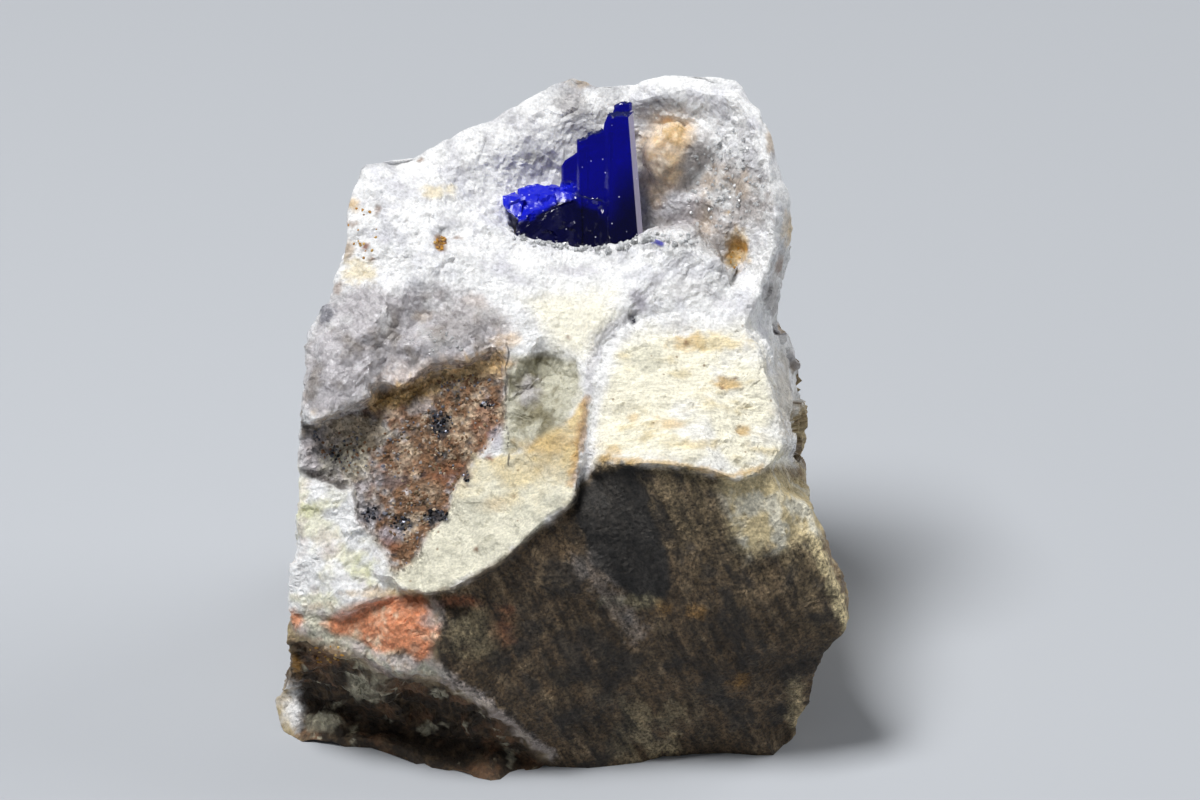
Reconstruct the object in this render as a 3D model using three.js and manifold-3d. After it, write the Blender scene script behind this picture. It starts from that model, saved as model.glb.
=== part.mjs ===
// Linarite on quartz: a thumbnail mineral specimen, in millimetres, +Z up.
// A broken block of vein quartz and altered wall rock stands on a flat trimmed base.
// A group of deep blue linarite blades stands in a notch near its top.
import * as THREE from "three";
import { ConvexGeometry } from "three/addons/geometries/ConvexGeometry.js";
import { ConvexHull } from "three/addons/math/ConvexHull.js";
import { ImprovedNoise } from "three/addons/math/ImprovedNoise.js";
import { mergeVertices } from "three/addons/utils/BufferGeometryUtils.js";
import Module from "manifold-3d";

// Driving dimensions.
const FACE_LEAN = 30; // degrees that the display face leans back from upright
const ROCK_DEPTH = 19.6; // from the front of the base to the broken back
const BASE_BITE = 0.5; // how far the rock ran on below the trimmed base
const STEP_WIDTH = 0.25; // width, seen from the front, of the wall at a lip or ledge
const LINE_STEP = 0.85; // spacing of the points along a traced line
const RIM_CLEAR = 0.42; // least distance of a traced point from the outline
const FRONT_FACET = 1.35; // longest facet edge on the display face
const BACK_FACET = 2.4; // longest facet edge on the sides and the back
const FINE_ROUGH = 0.26; // height of the fine roughness on the display face
const SOCKET_GAP = 0.12; // clearance between the crystal and its socket
const QUARTZ_COLOUR = 0xe6e2da;
const LINARITE_COLOUR = 0x1a1aa8;

const wasm = await Module();
wasm.setup();
const perlin = new ImprovedNoise();

// The display face has its own frame: across it, up it, and proud of it towards the viewer.
// Each traced point is [across, up, proud]. A step line also gives the depth at the foot of its wall.

// The rock's outline, as seen square on to the display face.
const TOP_EDGE = [
  [-8.3, 25.8, -1.0], [-6.3, 26.0, -1.6], [-4.6, 27.0, -2.2], [-2.5, 28.1, -2.8], [-0.6, 29.0, -3.0],
  [0.6, 29.5, -3.1], [1.6, 29.2, -3.3], [3.3, 29.4, -3.0], [4.5, 29.7, -2.7], [6.2, 29.6, -2.4],
  [7.4, 29.5, -2.2],
];
const RIGHT_QUARTZ_EDGE = [
  [7.9, 28.7, -1.9], [8.5, 28.1, -1.6], [9.0, 27.1, -1.3], [9.2, 25.9, -1.1], [9.7, 24.7, -1.0],
  [9.9, 23.7, -1.1], [9.7, 22.4, -1.6], [9.4, 20.5, -3.0], [9.3, 19.0, -4.6],
];
const REAR_FLANK_EDGE = [
  [10.0, 18.0, -7.0], [10.3, 16.5, -8.0], [10.1, 15.1, -8.0], [10.0, 13.6, -6.5], [10.3, 12.5, -3.0],
];
const RIGHT_BLOCK_EDGE = [
  [10.4, 11.4, 2.6], [10.7, 10.4, 3.0], [11.2, 8.4, 2.6], [11.7, 7.0, 2.0], [11.7, 6.2, 1.6],
  [11.0, 5.3, 1.0], [10.5, 4.5, 0.4], [10.3, 3.4, -0.6], [10.0, 2.7, -1.6],
];
const BASE_EDGE = [
  [9.9, 1.8, -3.0], [9.0, 1.0, -1.8], [7.5, 1.1, -1.9], [5.8, 1.1, -1.9], [4.2, 1.0, -1.8],
  [3.3, 0.7, -1.3], [1.3, 0.5, -1.0], [-0.6, 0.5, -1.0], [-1.9, 0.1, -0.3], [-2.9, 0.0, -0.1],
  [-4.6, 0.4, -0.8], [-6.0, 0.6, -1.1], [-7.9, 1.3, -2.3], [-9.6, 1.4, -2.5], [-10.8, 1.5, -2.7],
];
const LEFT_KNOB_EDGE = [
  [-11.9, 2.0, -3.5], [-12.0, 2.8, -3.7], [-11.7, 3.6, -3.5], [-11.3, 4.2, -2.6],
];
const LEFT_EDGE = [
  [-11.2, 5.1, 0.0], [-11.4, 5.9, 0.5], [-11.3, 7.2, 1.0], [-11.2, 8.4, 1.3], [-11.0, 10.1, 1.5],
  [-10.9, 11.7, 1.5], [-10.75, 14.2, 1.3], [-10.6, 15.4, 1.6], [-10.7, 16.5, 2.0], [-10.5, 18.2, 1.5],
  [-10.2, 19.2, 1.0], [-9.7, 20.2, 0.6], [-9.25, 21.4, 0.3], [-9.0, 22.9, 0.0], [-8.75, 24.5, -0.5],
];
const OUTLINE = [
  ...TOP_EDGE, ...RIGHT_QUARTZ_EDGE, ...REAR_FLANK_EDGE, ...RIGHT_BLOCK_EDGE,
  ...BASE_EDGE, ...LEFT_KNOB_EDGE, ...LEFT_EDGE,
];

// Lips and ledges: walls that run straight back, with the foot beside the edge.
const STEPS = [
  {
    // Quartz ledge in front of the crystal and of the vug.
    foot: [0.05, 1],
    line: [
      [-2.3, 23.1, -0.5, -1.5], [-1.9, 22.9, -0.4, -2.0], [-1.2, 22.6, -0.3, -2.2], [0, 22.4, -0.3, -2.3],
      [1.2, 22.2, -0.2, -2.4], [2.3, 22.4, -0.2, -2.5], [3.3, 22.7, -0.2, -2.6], [3.9, 22.5, -0.2, -2.6],
      [5.0, 22.9, 0.1, -2.7], [5.8, 22.6, 0.2, -2.7], [6.5, 22.0, 0.2, -2.4], [6.9, 21.2, 0.2, -1.8],
      [7.1, 20.6, 0.2, -1.2],
    ],
  },
  {
    // Torn edge of the white sheet, running down into the upright edge of the cream fin.
    foot: [1, 0],
    line: [
      [3.3, 20.1, 1.3, 0.9], [2.7, 19.6, 1.6, 1.1], [1.8, 18.8, 2.1, 1.5], [1.4, 18.2, 2.4, 1.7],
      [1.3, 17.2, 3.0, 2.3], [1.1, 16.3, 3.6, 2.8], [1.0, 14.7, 4.4, 3.5], [0.9, 13.7, 4.8, 3.9],
      [0.7, 12.7, 5.1, 4.2], [0.5, 11.8, 5.4, 4.5],
    ],
  },
  {
    // Curved crest of the cream fin, over the front face and the red patch.
    foot: [0, -1],
    line: [
      [0.2, 11.4, 5.4, 4.9], [-0.6, 10.9, 5.3, 4.8], [-1.4, 10.2, 5.2, 4.6], [-2.4, 9.4, 5.0, 4.3],
      [-3.5, 8.7, 4.7, 3.9], [-4.5, 8.2, 4.4, 3.4], [-5.3, 8.0, 4.0, 2.9], [-6.4, 8.2, 3.4, 2.5],
      [-6.9, 8.6, 3.0, 2.4],
    ],
  },
  {
    // Rolled lower lip of the grey quartz, over the brown pocket.
    foot: [0, -1],
    line: [
      [-10.1, 15.1, 3.0, 1.2], [-9.6, 15.2, 3.1, 1.2], [-9.0, 15.5, 3.0, 1.1], [-7.8, 16.0, 2.6, 0.9],
      [-7.4, 16.6, 2.0, 0.9], [-6.6, 16.6, 2.2, 1.0], [-5.3, 17.3, 2.3, 1.3], [-3.8, 17.5, 2.3, 1.5],
      [-2.8, 18.0, 2.3, 1.7],
    ],
  },
  {
    // Straight crack and slanting edge that bound the brown pocket on the right.
    foot: [-1, 0.3],
    line: [
      [-2.2, 17.6, 2.3, 1.6], [-2.2, 16.8, 2.3, 1.7], [-2.2, 15.8, 2.4, 1.8], [-2.3, 14.9, 2.6, 2.0],
      [-3.3, 13.5, 2.5, 2.0], [-3.7, 12.9, 2.5, 2.0], [-4.2, 12.0, 2.6, 2.1], [-4.4, 11.1, 2.7, 2.2],
      [-5.0, 10.4, 2.7, 2.2], [-5.5, 10.1, 2.7, 2.3], [-5.7, 9.4, 2.8, 2.4], [-6.2, 9.0, 2.8, 2.4],
    ],
  },
  {
    // Lower left edge of the brown pocket, where pale quartz stands over it.
    foot: [0.6, 0.8],
    line: [
      [-9.8, 12.4, 1.9, 1.4], [-8.6, 12.1, 2.1, 1.5], [-8.5, 10.9, 2.4, 1.8], [-7.8, 10.2, 2.6, 2.0],
      [-7.2, 9.5, 2.7, 2.2],
    ],
  },
  {
    // Lower edge of the pale quartz, over the red patch.
    foot: [0, -1],
    line: [[-10.5, 7.2, 1.7, 1.2], [-9.4, 7.1, 2.3, 1.8], [-8.3, 7.6, 2.6, 2.1], [-7.5, 7.8, 2.8, 2.3]],
  },
  {
    // Ridge over the dark hollow at the lower left.
    foot: [-0.2, -1],
    line: [
      [-10.6, 6.0, 1.2, 0.2], [-9.2, 5.2, 1.7, 0.3], [-8.3, 5.4, 1.9, 0.6], [-7.7, 5.0, 2.0, 0.6],
      [-6.7, 4.6, 2.2, 0.8], [-5.7, 4.5, 2.3, 1.0], [-4.8, 4.4, 2.4, 1.2], [-4.2, 4.0, 2.2, 1.1],
      [-3.6, 3.8, 2.1, 1.1], [-3.0, 3.2, 1.7, 0.8], [-2.1, 2.5, 1.1, 0.3], [-1.3, 1.8, 0.4, -0.3],
    ],
  },
  {
    // Front crest of the cream block.
    foot: [0, -1],
    line: [
      [1.5, 13.0, 4.7, 4.2], [2.2, 13.3, 5.4, 4.9], [3.3, 13.4, 6.1, 5.6], [4.8, 13.3, 6.3, 5.8],
      [6.3, 13.0, 6.1, 5.6], [7.2, 12.7, 5.8, 5.3], [8.0, 13.0, 5.2, 4.8], [8.7, 13.3, 4.5, 4.2],
    ],
  },
];

// Ridges, valleys and spot heights of each area, from the top down.
const RIDGES = [
  // Right edge of the cream block, in front of the rear flank.
  [[7.7, 19.0, 0.8], [8.3, 17.8, 1.8], [8.7, 16.1, 2.6], [9.4, 14.2, 3.2], [10.0, 12.3, 3.2]],
  // Side wall of the block, running back to the rear flank.
  [[8.3, 19.0, -0.9], [8.85, 17.85, -1.1], [9.2, 16.2, -0.9], [9.65, 14.1, 0.0], [10.1, 12.4, 1.2]],
  [[8.8, 19.0, -2.7], [9.4, 17.9, -4.0], [9.75, 16.35, -4.5], [9.85, 14.6, -4.2], [10.0, 13.2, -2.6]],
  // Fold in the fin where its ochre facet starts.
  [[-1.9, 14.0, 3.0], [-0.9, 14.6, 3.5], [0.3, 15.4, 3.7]],
  // Valley between the two lumps of grey quartz.
  [[-7.1, 18.0, 1.8], [-6.5, 18.8, 1.5], [-5.6, 19.5, 1.3]],
  // Rim of the vug.
  [
    [3.6, 28.6, -2.4], [5.4, 29.0, -1.8], [7.3, 28.5, -1.2], [8.3, 27.2, -0.4], [8.6, 25.5, 0.0],
    [9.0, 23.8, 0.1], [8.8, 22.2, 0.0], [8.3, 20.2, 0.2],
  ],
  // Lower break of the front face, where its dark band starts.
  [[3.3, 7.2, 3.2], [5.4, 6.8, 3.2], [7.5, 6.0, 2.6], [10.0, 5.9, 1.9]],
];
const SPOT_HEIGHTS = {
  backSlope: [
    [-6.5, 24.8, -0.6], [-4.5, 25.6, -1.4], [-2.5, 26.6, -2.2], [-0.5, 27.5, -2.7], [1.0, 28.1, -2.9],
    [2.4, 28.2, -3.3],
  ],
  trough: [
    [-3.2, 24.4, -1.6], [-1.5, 24.9, -2.6], [0, 25.2, -3.3], [1.5, 26.0, -3.7], [2.8, 26.6, -3.7],
    [-0.5, 23.7, -2.6], [1.0, 23.7, -2.9], [2.5, 24.0, -3.0],
  ],
  shoulder: [
    [-7.4, 24.4, 0.0], [-6.8, 23.0, 0.5], [-5.0, 22.7, 0.7], [-5.4, 24.0, 0.0], [-3.6, 23.5, -0.5],
    [-3.4, 22.5, 0.1], [-7.4, 21.8, 0.9], [-5.6, 21.2, 1.3], [-3.6, 21.4, 0.9],
  ],
  frontSlope: [
    [-1.6, 21.4, 0.6], [0.4, 21.2, 0.5], [2.4, 21.2, 0.5], [4.4, 21.3, 0.7], [5.9, 20.8, 0.7],
    [-1.2, 19.8, 1.4], [0.8, 19.7, 1.4], [-0.8, 18.6, 1.9], [0.5, 18.4, 2.2], [4.6, 19.6, 0.8],
    [6.4, 19.4, 0.8],
  ],
  vug: [
    [3.9, 27.5, -3.1], [5.4, 27.4, -2.7], [6.9, 26.9, -2.2], [7.7, 25.7, -1.5], [4.0, 25.0, -3.1],
    [5.4, 24.8, -3.1], [6.8, 24.4, -2.6], [7.9, 23.9, -1.5], [4.2, 23.5, -2.7], [5.6, 23.6, -2.9],
    [7.0, 22.9, -2.4], [7.5, 21.8, -2.0], [8.1, 21.1, -0.8], [4.5, 26.4, -1.9],
  ],
  greyQuartz: [
    [-9.6, 17.2, 2.8], [-8.7, 18.2, 2.5], [-8.0, 17.2, 2.5], [-9.6, 18.8, 2.0], [-7.8, 19.2, 2.2],
    [-6.2, 20.4, 1.6], [-5.8, 18.2, 2.3], [-4.4, 18.6, 2.1], [-5.0, 19.9, 1.4], [-3.3, 18.9, 2.0],
    [-2.9, 20.1, 1.4], [-9.4, 16.2, 3.1],
  ],
  greenPit: [[-0.5, 17.0, 1.4], [-1.2, 16.6, 1.7], [0.1, 16.8, 1.9], [-1.5, 17.6, 2.2], [0.6, 17.7, 2.5]],
  brownPocket: [
    [-9.6, 14.0, 1.2], [-7.9, 14.7, 1.2], [-5.8, 15.5, 1.3], [-3.8, 15.9, 1.6], [-9.2, 13.1, 1.2],
    [-6.7, 13.0, 1.5], [-4.6, 13.6, 1.8], [-7.2, 11.3, 1.8], [-5.5, 11.4, 2.0], [-6.6, 9.9, 2.2],
  ],
  fin: [[-0.6, 12.6, 4.4], [-2.0, 11.3, 4.1], [-3.6, 10.2, 3.8], [-5.0, 9.2, 3.5], [-1.0, 15.4, 2.9]],
  paleQuartz: [[-10.1, 10.9, 1.7], [-9.4, 9.3, 2.2], [-10.3, 8.2, 1.7], [-8.1, 8.8, 2.6], [-8.9, 8.0, 2.5]],
  redPatch: [
    [-5.6, 7.4, 2.9], [-4.9, 6.9, 3.3], [-5.1, 5.9, 3.2], [-7.5, 6.6, 2.3], [-8.9, 6.2, 1.9],
    [-6.7, 5.8, 2.5],
  ],
  hollow: [
    [-10.3, 4.4, -2.2], [-9.6, 3.2, -3.0], [-8.2, 3.7, -2.2], [-8.0, 2.5, -2.9], [-7.1, 3.5, -1.0],
    [-6.2, 3.2, -2.0], [-6.2, 2.0, -2.5], [-4.6, 2.8, -1.5], [-4.2, 1.6, -2.0], [-2.8, 1.6, -1.3],
    [-1.6, 1.0, -1.3],
  ],
  creamBlock: [
    [2.2, 17.0, 2.5], [2.0, 15.0, 3.5], [4.0, 17.8, 2.0], [6.0, 18.2, 1.6], [4.2, 16.0, 3.4],
    [6.4, 16.2, 3.2], [7.6, 16.0, 2.9], [3.6, 14.4, 5.0], [6.0, 14.4, 5.0], [8.2, 14.4, 3.9],
  ],
  chip: [
    [7.0, 11.6, 5.1], [7.6, 10.4, 4.8], [8.4, 9.8, 4.5], [9.4, 9.9, 3.9], [9.2, 12.1, 4.1],
    [8.3, 11.4, 4.5],
  ],
  frontFace: [
    [2.2, 11.7, 4.6], [3.8, 12.2, 5.4], [3.0, 10.1, 4.5], [1.1, 8.6, 4.2], [-0.8, 8.4, 4.2],
    [5.8, 9.6, 4.6], [7.8, 8.2, 3.8], [9.6, 7.4, 2.9], [-1.4, 6.4, 3.0], [-3.2, 6.3, 3.2],
    [1.0, 6.2, 2.8], [0.5, 4.2, 1.8], [2.6, 4.4, 1.5], [5.0, 4.4, 1.4], [7.4, 4.0, 1.0],
    [9.2, 4.0, 0.4], [5.0, 2.4, -0.3], [8.2, 2.5, -0.5], [2.0, 2.2, -0.2], [0.2, 2.0, 0.1],
  ],
};

// Points of a mesh are Vector4: x, y, z in the face frame, and w, the height of the coarse roughness there.
const FRONT_ROUGH = 0;
const BACK_ROUGH = 0.85;

function vertex([across, up, proud], rough = FRONT_ROUGH) {
  return new THREE.Vector4(across, up, proud, rough);
}

// Places points along a traced line, no further apart than LINE_STEP.
function alongLine(line, closed = false) {
  const points = [];
  const last = closed ? line.length : line.length - 1;
  for (let i = 0; i < last; i++) {
    const from = line[i];
    const to = line[(i + 1) % line.length];
    const pieces = Math.ceil(Math.hypot(to[0] - from[0], to[1] - from[1]) / LINE_STEP);
    for (let k = 0; k < pieces; k++) {
      points.push(from.map((value, n) => THREE.MathUtils.lerp(value, to[n], k / pieces)));
    }
  }
  if (!closed) points.push(line[line.length - 1]);
  return points;
}

// The top and the foot of a lip or ledge.
function alongStep({ line, foot }) {
  const away = new THREE.Vector2(...foot).setLength(STEP_WIDTH);
  return alongLine(line).flatMap(([across, up, top, bottom]) => [
    [across, up, top],
    [across + away.x, up + away.y, bottom],
  ]);
}

function insideOutline([across, up], outline) {
  let inside = false;
  outline.forEach((p, i) => {
    const q = outline[(i + 1) % outline.length];
    const crosses = p[1] > up !== q[1] > up;
    if (crosses && across < p[0] + ((up - p[1]) / (q[1] - p[1])) * (q[0] - p[0])) inside = !inside;
  });
  return inside;
}

function distanceToOutline([across, up], outline) {
  return Math.min(...outline.map((p) => Math.hypot(p[0] - across, p[1] - up)));
}

// Delaunay net over points in the face plane: the lower hull of the points lifted to a paraboloid.
function delaunayNet(points, outline) {
  const lifted = points.map((p) => new THREE.Vector3(p.x, p.y, p.x * p.x + p.y * p.y));
  const index = new Map(lifted.map((p, i) => [p, i]));
  const hull = new ConvexHull().setFromPoints(lifted);
  const faces = [];
  for (const face of hull.faces) {
    if (face.normal.z >= 0) continue;
    const edge = face.edge;
    const corners = [edge.prev, edge, edge.next].map((e) => index.get(e.vertex.point));
    const [a, b, c] = corners.map((i) => points[i]);
    const middle = [(a.x + b.x + c.x) / 3, (a.y + b.y + c.y) / 3];
    if (!insideOutline(middle, outline)) continue;
    const turn = (b.x - a.x) * (c.y - a.y) - (b.y - a.y) * (c.x - a.x);
    faces.push(turn > 0 ? corners : corners.reverse());
  }
  return faces;
}

// The broken back is three planes: how far each stands behind the rock's depth, and how it falls off.
const REAR_PLANES = [
  { behind: 0, perAcross: -0.1, perUp: -0.02 },
  { behind: 1.2, perAcross: 0.16, perUp: -0.1 },
  { behind: 8.4, perAcross: 0, perUp: -0.3 },
];

// Depth of the back of the rock: its broken rear face, or its underside where that is nearer.
function backDepth(across, up) {
  const lean = THREE.MathUtils.degToRad(FACE_LEAN);
  const rear = REAR_PLANES.map(({ behind, perAcross, perUp }) => {
    const depth = ROCK_DEPTH + behind + perAcross * across + perUp * up;
    return (up * Math.sin(lean) - depth) / Math.cos(lean);
  });
  const underside = (-BASE_BITE - up * Math.cos(lean)) / Math.sin(lean);
  return Math.max(underside, ...rear);
}

// The sides run back from the outline in rings that draw in, down to the broken back.
const FLANK_RINGS = [
  { inset: 0.3, share: 0.07 },
  { inset: 0.7, share: 0.28 },
  { inset: 1.0, share: 0.52 },
  { inset: 1.6, share: 0.78 },
  { inset: 2.9, share: 0.96 },
];
const FLANK_SWAY = 0.7; // share by which the draw varies round the rock
const SWAY_SIZE = 3; // distance over which it varies
const FLANK_SKIP = 2; // a ring takes every second point of the outline
const BACK_GRID = 2.0; // spacing of the points on the back
const BACK_SHIFT = 0.6; // how far a point on the back may stray from its grid
const ROCK_MIDDLE = [-0.5, 14];
const ROCK_REACH = { side: 12, up: 30 };

function flankRing({ inset, share }, outline) {
  return outline.filter((_, i) => i % FLANK_SKIP === 0).map(([across, up, proud]) => {
    const draw = inset * (1 + FLANK_SWAY * perlin.noise(across / SWAY_SIZE, up / SWAY_SIZE, inset));
    const inward = new THREE.Vector2(ROCK_MIDDLE[0] - across, ROCK_MIDDLE[1] - up).setLength(draw);
    const place = [across + inward.x, up + inward.y];
    const deep = Math.min(backDepth(...place), proud - draw);
    return [...place, THREE.MathUtils.lerp(proud, deep, share)];
  });
}

function backGrid(outline) {
  const places = [];
  for (let across = -ROCK_REACH.side; across <= ROCK_REACH.side; across += BACK_GRID) {
    for (let up = 0; up <= ROCK_REACH.up; up += BACK_GRID) {
      const shift = BACK_SHIFT * perlin.noise(across, up, BACK_SHIFT);
      const place = [across + shift, up - shift];
      if (!insideOutline(place, outline) || distanceToOutline(place, outline) < BACK_GRID / 2) continue;
      places.push([...place, backDepth(...place)]);
    }
  }
  return places;
}

// Faces between a ring and the next one behind it. Each ring is given by its first point and its count.
function betweenRings(nearer, deeper) {
  const faces = [];
  let i = 0;
  let j = 0;
  while (i < nearer.count || j < deeper.count) {
    const here = nearer.first + (i % nearer.count);
    const behind = deeper.first + (j % deeper.count);
    if (i < nearer.count && (i + 1) / nearer.count <= (j + 1) / deeper.count) {
      i++;
      faces.push([here, nearer.first + (i % nearer.count), behind]);
    } else {
      j++;
      faces.push([here, deeper.first + (j % deeper.count), behind]);
    }
  }
  return faces;
}

// The closed skin of the rock: the traced front, the rings of the sides, and the broken back.
function rockNet() {
  const outline = alongLine(OUTLINE, true);
  const traced = [
    ...STEPS.flatMap(alongStep),
    ...RIDGES.flatMap((line) => alongLine(line)),
    ...Object.values(SPOT_HEIGHTS).flat(),
  ];
  const isClear = (p) => insideOutline(p, outline) && distanceToOutline(p, outline) > RIM_CLEAR;
  const front = [...outline, ...traced.filter(isClear)].map((p) => vertex(p));
  const points = [...front];
  const frontFaces = delaunayNet(front, outline);
  const faces = [...frontFaces];
  const rings = FLANK_RINGS.map((ring) => flankRing(ring, outline));
  let nearer = { first: 0, count: outline.length };
  for (const ring of rings) {
    const deeper = { first: points.length, count: ring.length };
    points.push(...ring.map((p) => vertex(p, BACK_ROUGH)));
    faces.push(...betweenRings(nearer, deeper));
    nearer = deeper;
  }
  const lastRing = rings[rings.length - 1];
  const back = [...lastRing, ...backGrid(lastRing)].map((p) => vertex(p, BACK_ROUGH));
  points.push(...back.slice(lastRing.length));
  const backFaces = delaunayNet(back, lastRing);
  faces.push(...backFaces.map((face) => face.map((i) => i + nearer.first).reverse()));
  return { points, faces, front: { points: front, faces: frontFaces } };
}

// Splits every edge that is longer than its limit, until none is left.
function refine({ points, faces }) {
  const limit = (p) => (p.w > BACK_ROUGH / 2 ? BACK_FACET : FRONT_FACET);
  for (;;) {
    const before = points.length;
    const halves = new Map();
    const half = (i, j) => {
      const key = i < j ? `${i} ${j}` : `${j} ${i}`;
      if (!halves.has(key)) {
        const [from, to] = [points[i], points[j]];
        const middle = from.clone().lerp(to, 0.5);
        const length = Math.hypot(from.x - to.x, from.y - to.y, from.z - to.z);
        halves.set(key, length > limit(middle) ? points.push(middle) - 1 : -1);
      }
      return halves.get(key);
    };
    faces = faces.flatMap((corners) => {
      const cuts = corners.map((corner, n) => half(corner, corners[(n + 1) % 3]));
      return splitFace(corners, cuts);
    });
    if (points.length === before) return { points, faces };
  }
}

// Splits a face at the cut edges.
// It is turned so that a single cut lies first, or the one edge left whole lies last.
function splitFace(corners, cuts) {
  const count = cuts.filter((cut) => cut >= 0).length;
  if (count === 0) return [corners];
  let turn = 0;
  if (count === 1) turn = cuts.findIndex((cut) => cut >= 0);
  if (count === 2) turn = (cuts.indexOf(-1) + 1) % 3;
  const [i, j, k] = [0, 1, 2].map((n) => corners[(n + turn) % 3]);
  const [p, q, r] = [0, 1, 2].map((n) => cuts[(n + turn) % 3]);
  if (count === 1) return [[i, p, k], [p, j, k]];
  if (count === 2) return [[p, j, q], [i, p, q], [i, q, k]];
  return [[i, p, r], [p, j, q], [r, q, k], [p, q, r]];
}

// Breaks up the flat facets: lumps and knobs on the sides and the back, fine roughness on the front.
const LUMP_SIZE = 5.5;
const KNOB_SIZE = 2.9;
const GRAIN_SIZE = 1.7;
const APART = 17.3; // distance between unrelated places in the noise

function roughen(points) {
  const sway = (p, size, place) => {
    const start = place * APART + size;
    return perlin.noise(p.x / size + start, p.y / size - start, p.z / size + 2 * start);
  };
  const along = (p, size) => new THREE.Vector3(sway(p, size, 0), sway(p, size, 1), sway(p, size, 2));
  return points.map((p) => {
    const lumps = along(p, LUMP_SIZE).multiplyScalar(p.w);
    const knobs = along(p, KNOB_SIZE).multiplyScalar(p.w / 2);
    const grain = along(p, GRAIN_SIZE).multiplyScalar(FINE_ROUGH * (1 - p.w));
    return new THREE.Vector3(p.x, p.y, p.z).add(lumps).add(knobs).add(grain);
  });
}

function geometryOf(points, faces) {
  const geometry = new THREE.BufferGeometry().setFromPoints(points);
  geometry.setIndex(faces.flat());
  return geometry;
}

function solidOf(geometry) {
  const bare = geometry.clone();
  bare.deleteAttribute("normal");
  bare.deleteAttribute("uv");
  const merged = mergeVertices(bare, 1e-4);
  const vertProperties = new Float32Array(merged.attributes.position.array);
  const triVerts = new Uint32Array(merged.index.array);
  return new wasm.Manifold(new wasm.Mesh({ numProp: 3, vertProperties, triVerts }));
}

function geometryOfSolid(solid) {
  const { vertProperties, triVerts } = solid.getMesh();
  const geometry = new THREE.BufferGeometry();
  geometry.setAttribute("position", new THREE.BufferAttribute(new Float32Array(vertProperties), 3));
  geometry.setIndex(new THREE.BufferAttribute(new Uint32Array(triVerts), 1));
  return geometry;
}

function joined(geometries) {
  return geometries.map(solidOf).reduce((all, solid) => all.add(solid));
}

// Stubby six-sided quartz points, rooted in the surface of the front.
const RANDOM_STEP = 16807;
const RANDOM_SPAN = 2147483647;
let seed = 7;
function random(low, high) {
  seed = (seed * RANDOM_STEP) % RANDOM_SPAN;
  return low + ((high - low) * seed) / RANDOM_SPAN;
}

const QUARTZ_PATCHES = [
  { middle: [5.6, 24.6], reach: [2.1, 2.6], count: 26, radius: [0.35, 0.75] }, // vug
  { middle: [4.6, 26.3], reach: [0.9, 1.1], count: 7, radius: [0.3, 0.55] }, // peach lump in the vug
  { middle: [5.0, 22.2], reach: [1.6, 0.6], count: 12, radius: [0.25, 0.45] }, // ledge right of the crystal
];
const POINT_TILT = 0.7; // radians that a point may lean from square to the face

// Depth of the display face at a place on it.
function surfaceAt([across, up], { points, faces }) {
  for (const corners of faces) {
    const [a, b, c] = corners.map((i) => points[i]);
    const area = (b.x - a.x) * (c.y - a.y) - (b.y - a.y) * (c.x - a.x);
    const v = ((across - a.x) * (c.y - a.y) - (up - a.y) * (c.x - a.x)) / area;
    const w = ((b.x - a.x) * (up - a.y) - (b.y - a.y) * (across - a.x)) / area;
    if (v >= 0 && w >= 0 && v + w <= 1) return a.z + v * (b.z - a.z) + w * (c.z - a.z);
  }
  throw new Error(`no surface at ${across}, ${up}`);
}

function quartzPoint(radius) {
  const root = -1.6 * radius;
  const shoulder = 0.35 * radius;
  const tip = 1.25 * radius;
  const profile = [[0, root], [radius, root], [radius, shoulder], [0, tip]];
  return new THREE.LatheGeometry(profile.map(([x, y]) => new THREE.Vector2(x, y)), 6);
}

function quartzPoints(front) {
  const turn = new THREE.Object3D();
  return QUARTZ_PATCHES.flatMap(({ middle, reach, count, radius }) =>
    Array.from({ length: count }, () => {
      const angle = random(0, 2 * Math.PI);
      const share = Math.sqrt(random(0, 1));
      const across = middle[0] + reach[0] * share * Math.cos(angle);
      const up = middle[1] + reach[1] * share * Math.sin(angle);
      turn.position.set(across, up, surfaceAt([across, up], front));
      const tilt = () => random(-POINT_TILT, POINT_TILT);
      turn.rotation.set(Math.PI / 2 + tilt(), random(0, Math.PI), tilt());
      turn.updateMatrix();
      return quartzPoint(random(...radius)).applyMatrix4(turn.matrix);
    }),
  );
}

// Linarite: parallel blades in steps, each an outline in the face plane between two depths.
// Chamfer is the bevelled rim of a blade, and grow widens it on every side for the socket.
const BLADES = [
  {
    // Tall main blade, with its straight bevelled right side.
    outline: [
      [1.8, 21.5], [3.65, 21.5], [3.45, 23.0], [3.05, 27.95], [2.3, 27.95], [2.0, 27.85], [1.85, 27.5],
      [1.8, 27.2],
    ],
    back: -2.0, front: -0.75, chamfer: 0.22,
  },
  {
    // Cap on the main blade.
    outline: [[2.2, 27.5], [3.0, 27.5], [3.0, 28.35], [2.6, 28.4], [2.3, 28.2], [2.2, 27.95]],
    back: -1.8, front: -1.0, chamfer: 0.1,
  },
  {
    // Second blade, one step down to the left.
    outline: [[0.7, 21.6], [2.2, 21.5], [2.2, 27.1], [1.75, 27.2], [1.2, 27.05], [1.05, 26.9], [0.7, 26.8]],
    back: -2.2, front: -0.9, chamfer: 0.1,
  },
  {
    // Third blade, thin and set back.
    outline: [[0.05, 23.5], [1.2, 23.5], [1.2, 26.5], [0.75, 26.3], [0.2, 25.95], [0.05, 25.7]],
    back: -2.3, front: -1.25, chamfer: 0.08,
  },
  {
    // Foot between the blades and the arm.
    outline: [[-0.6, 21.6], [2.2, 21.4], [2.2, 24.2], [0.75, 24.55], [-0.4, 24.2]],
    back: -2.4, front: -0.8, chamfer: 0.12,
  },
  {
    // Small blade low on the right, almost hidden by the ledge.
    outline: [[3.2, 21.8], [4.2, 22.2], [4.0, 22.75], [3.2, 22.9]],
    back: -1.9, front: -1.2, chamfer: 0.08,
  },
];
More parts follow.
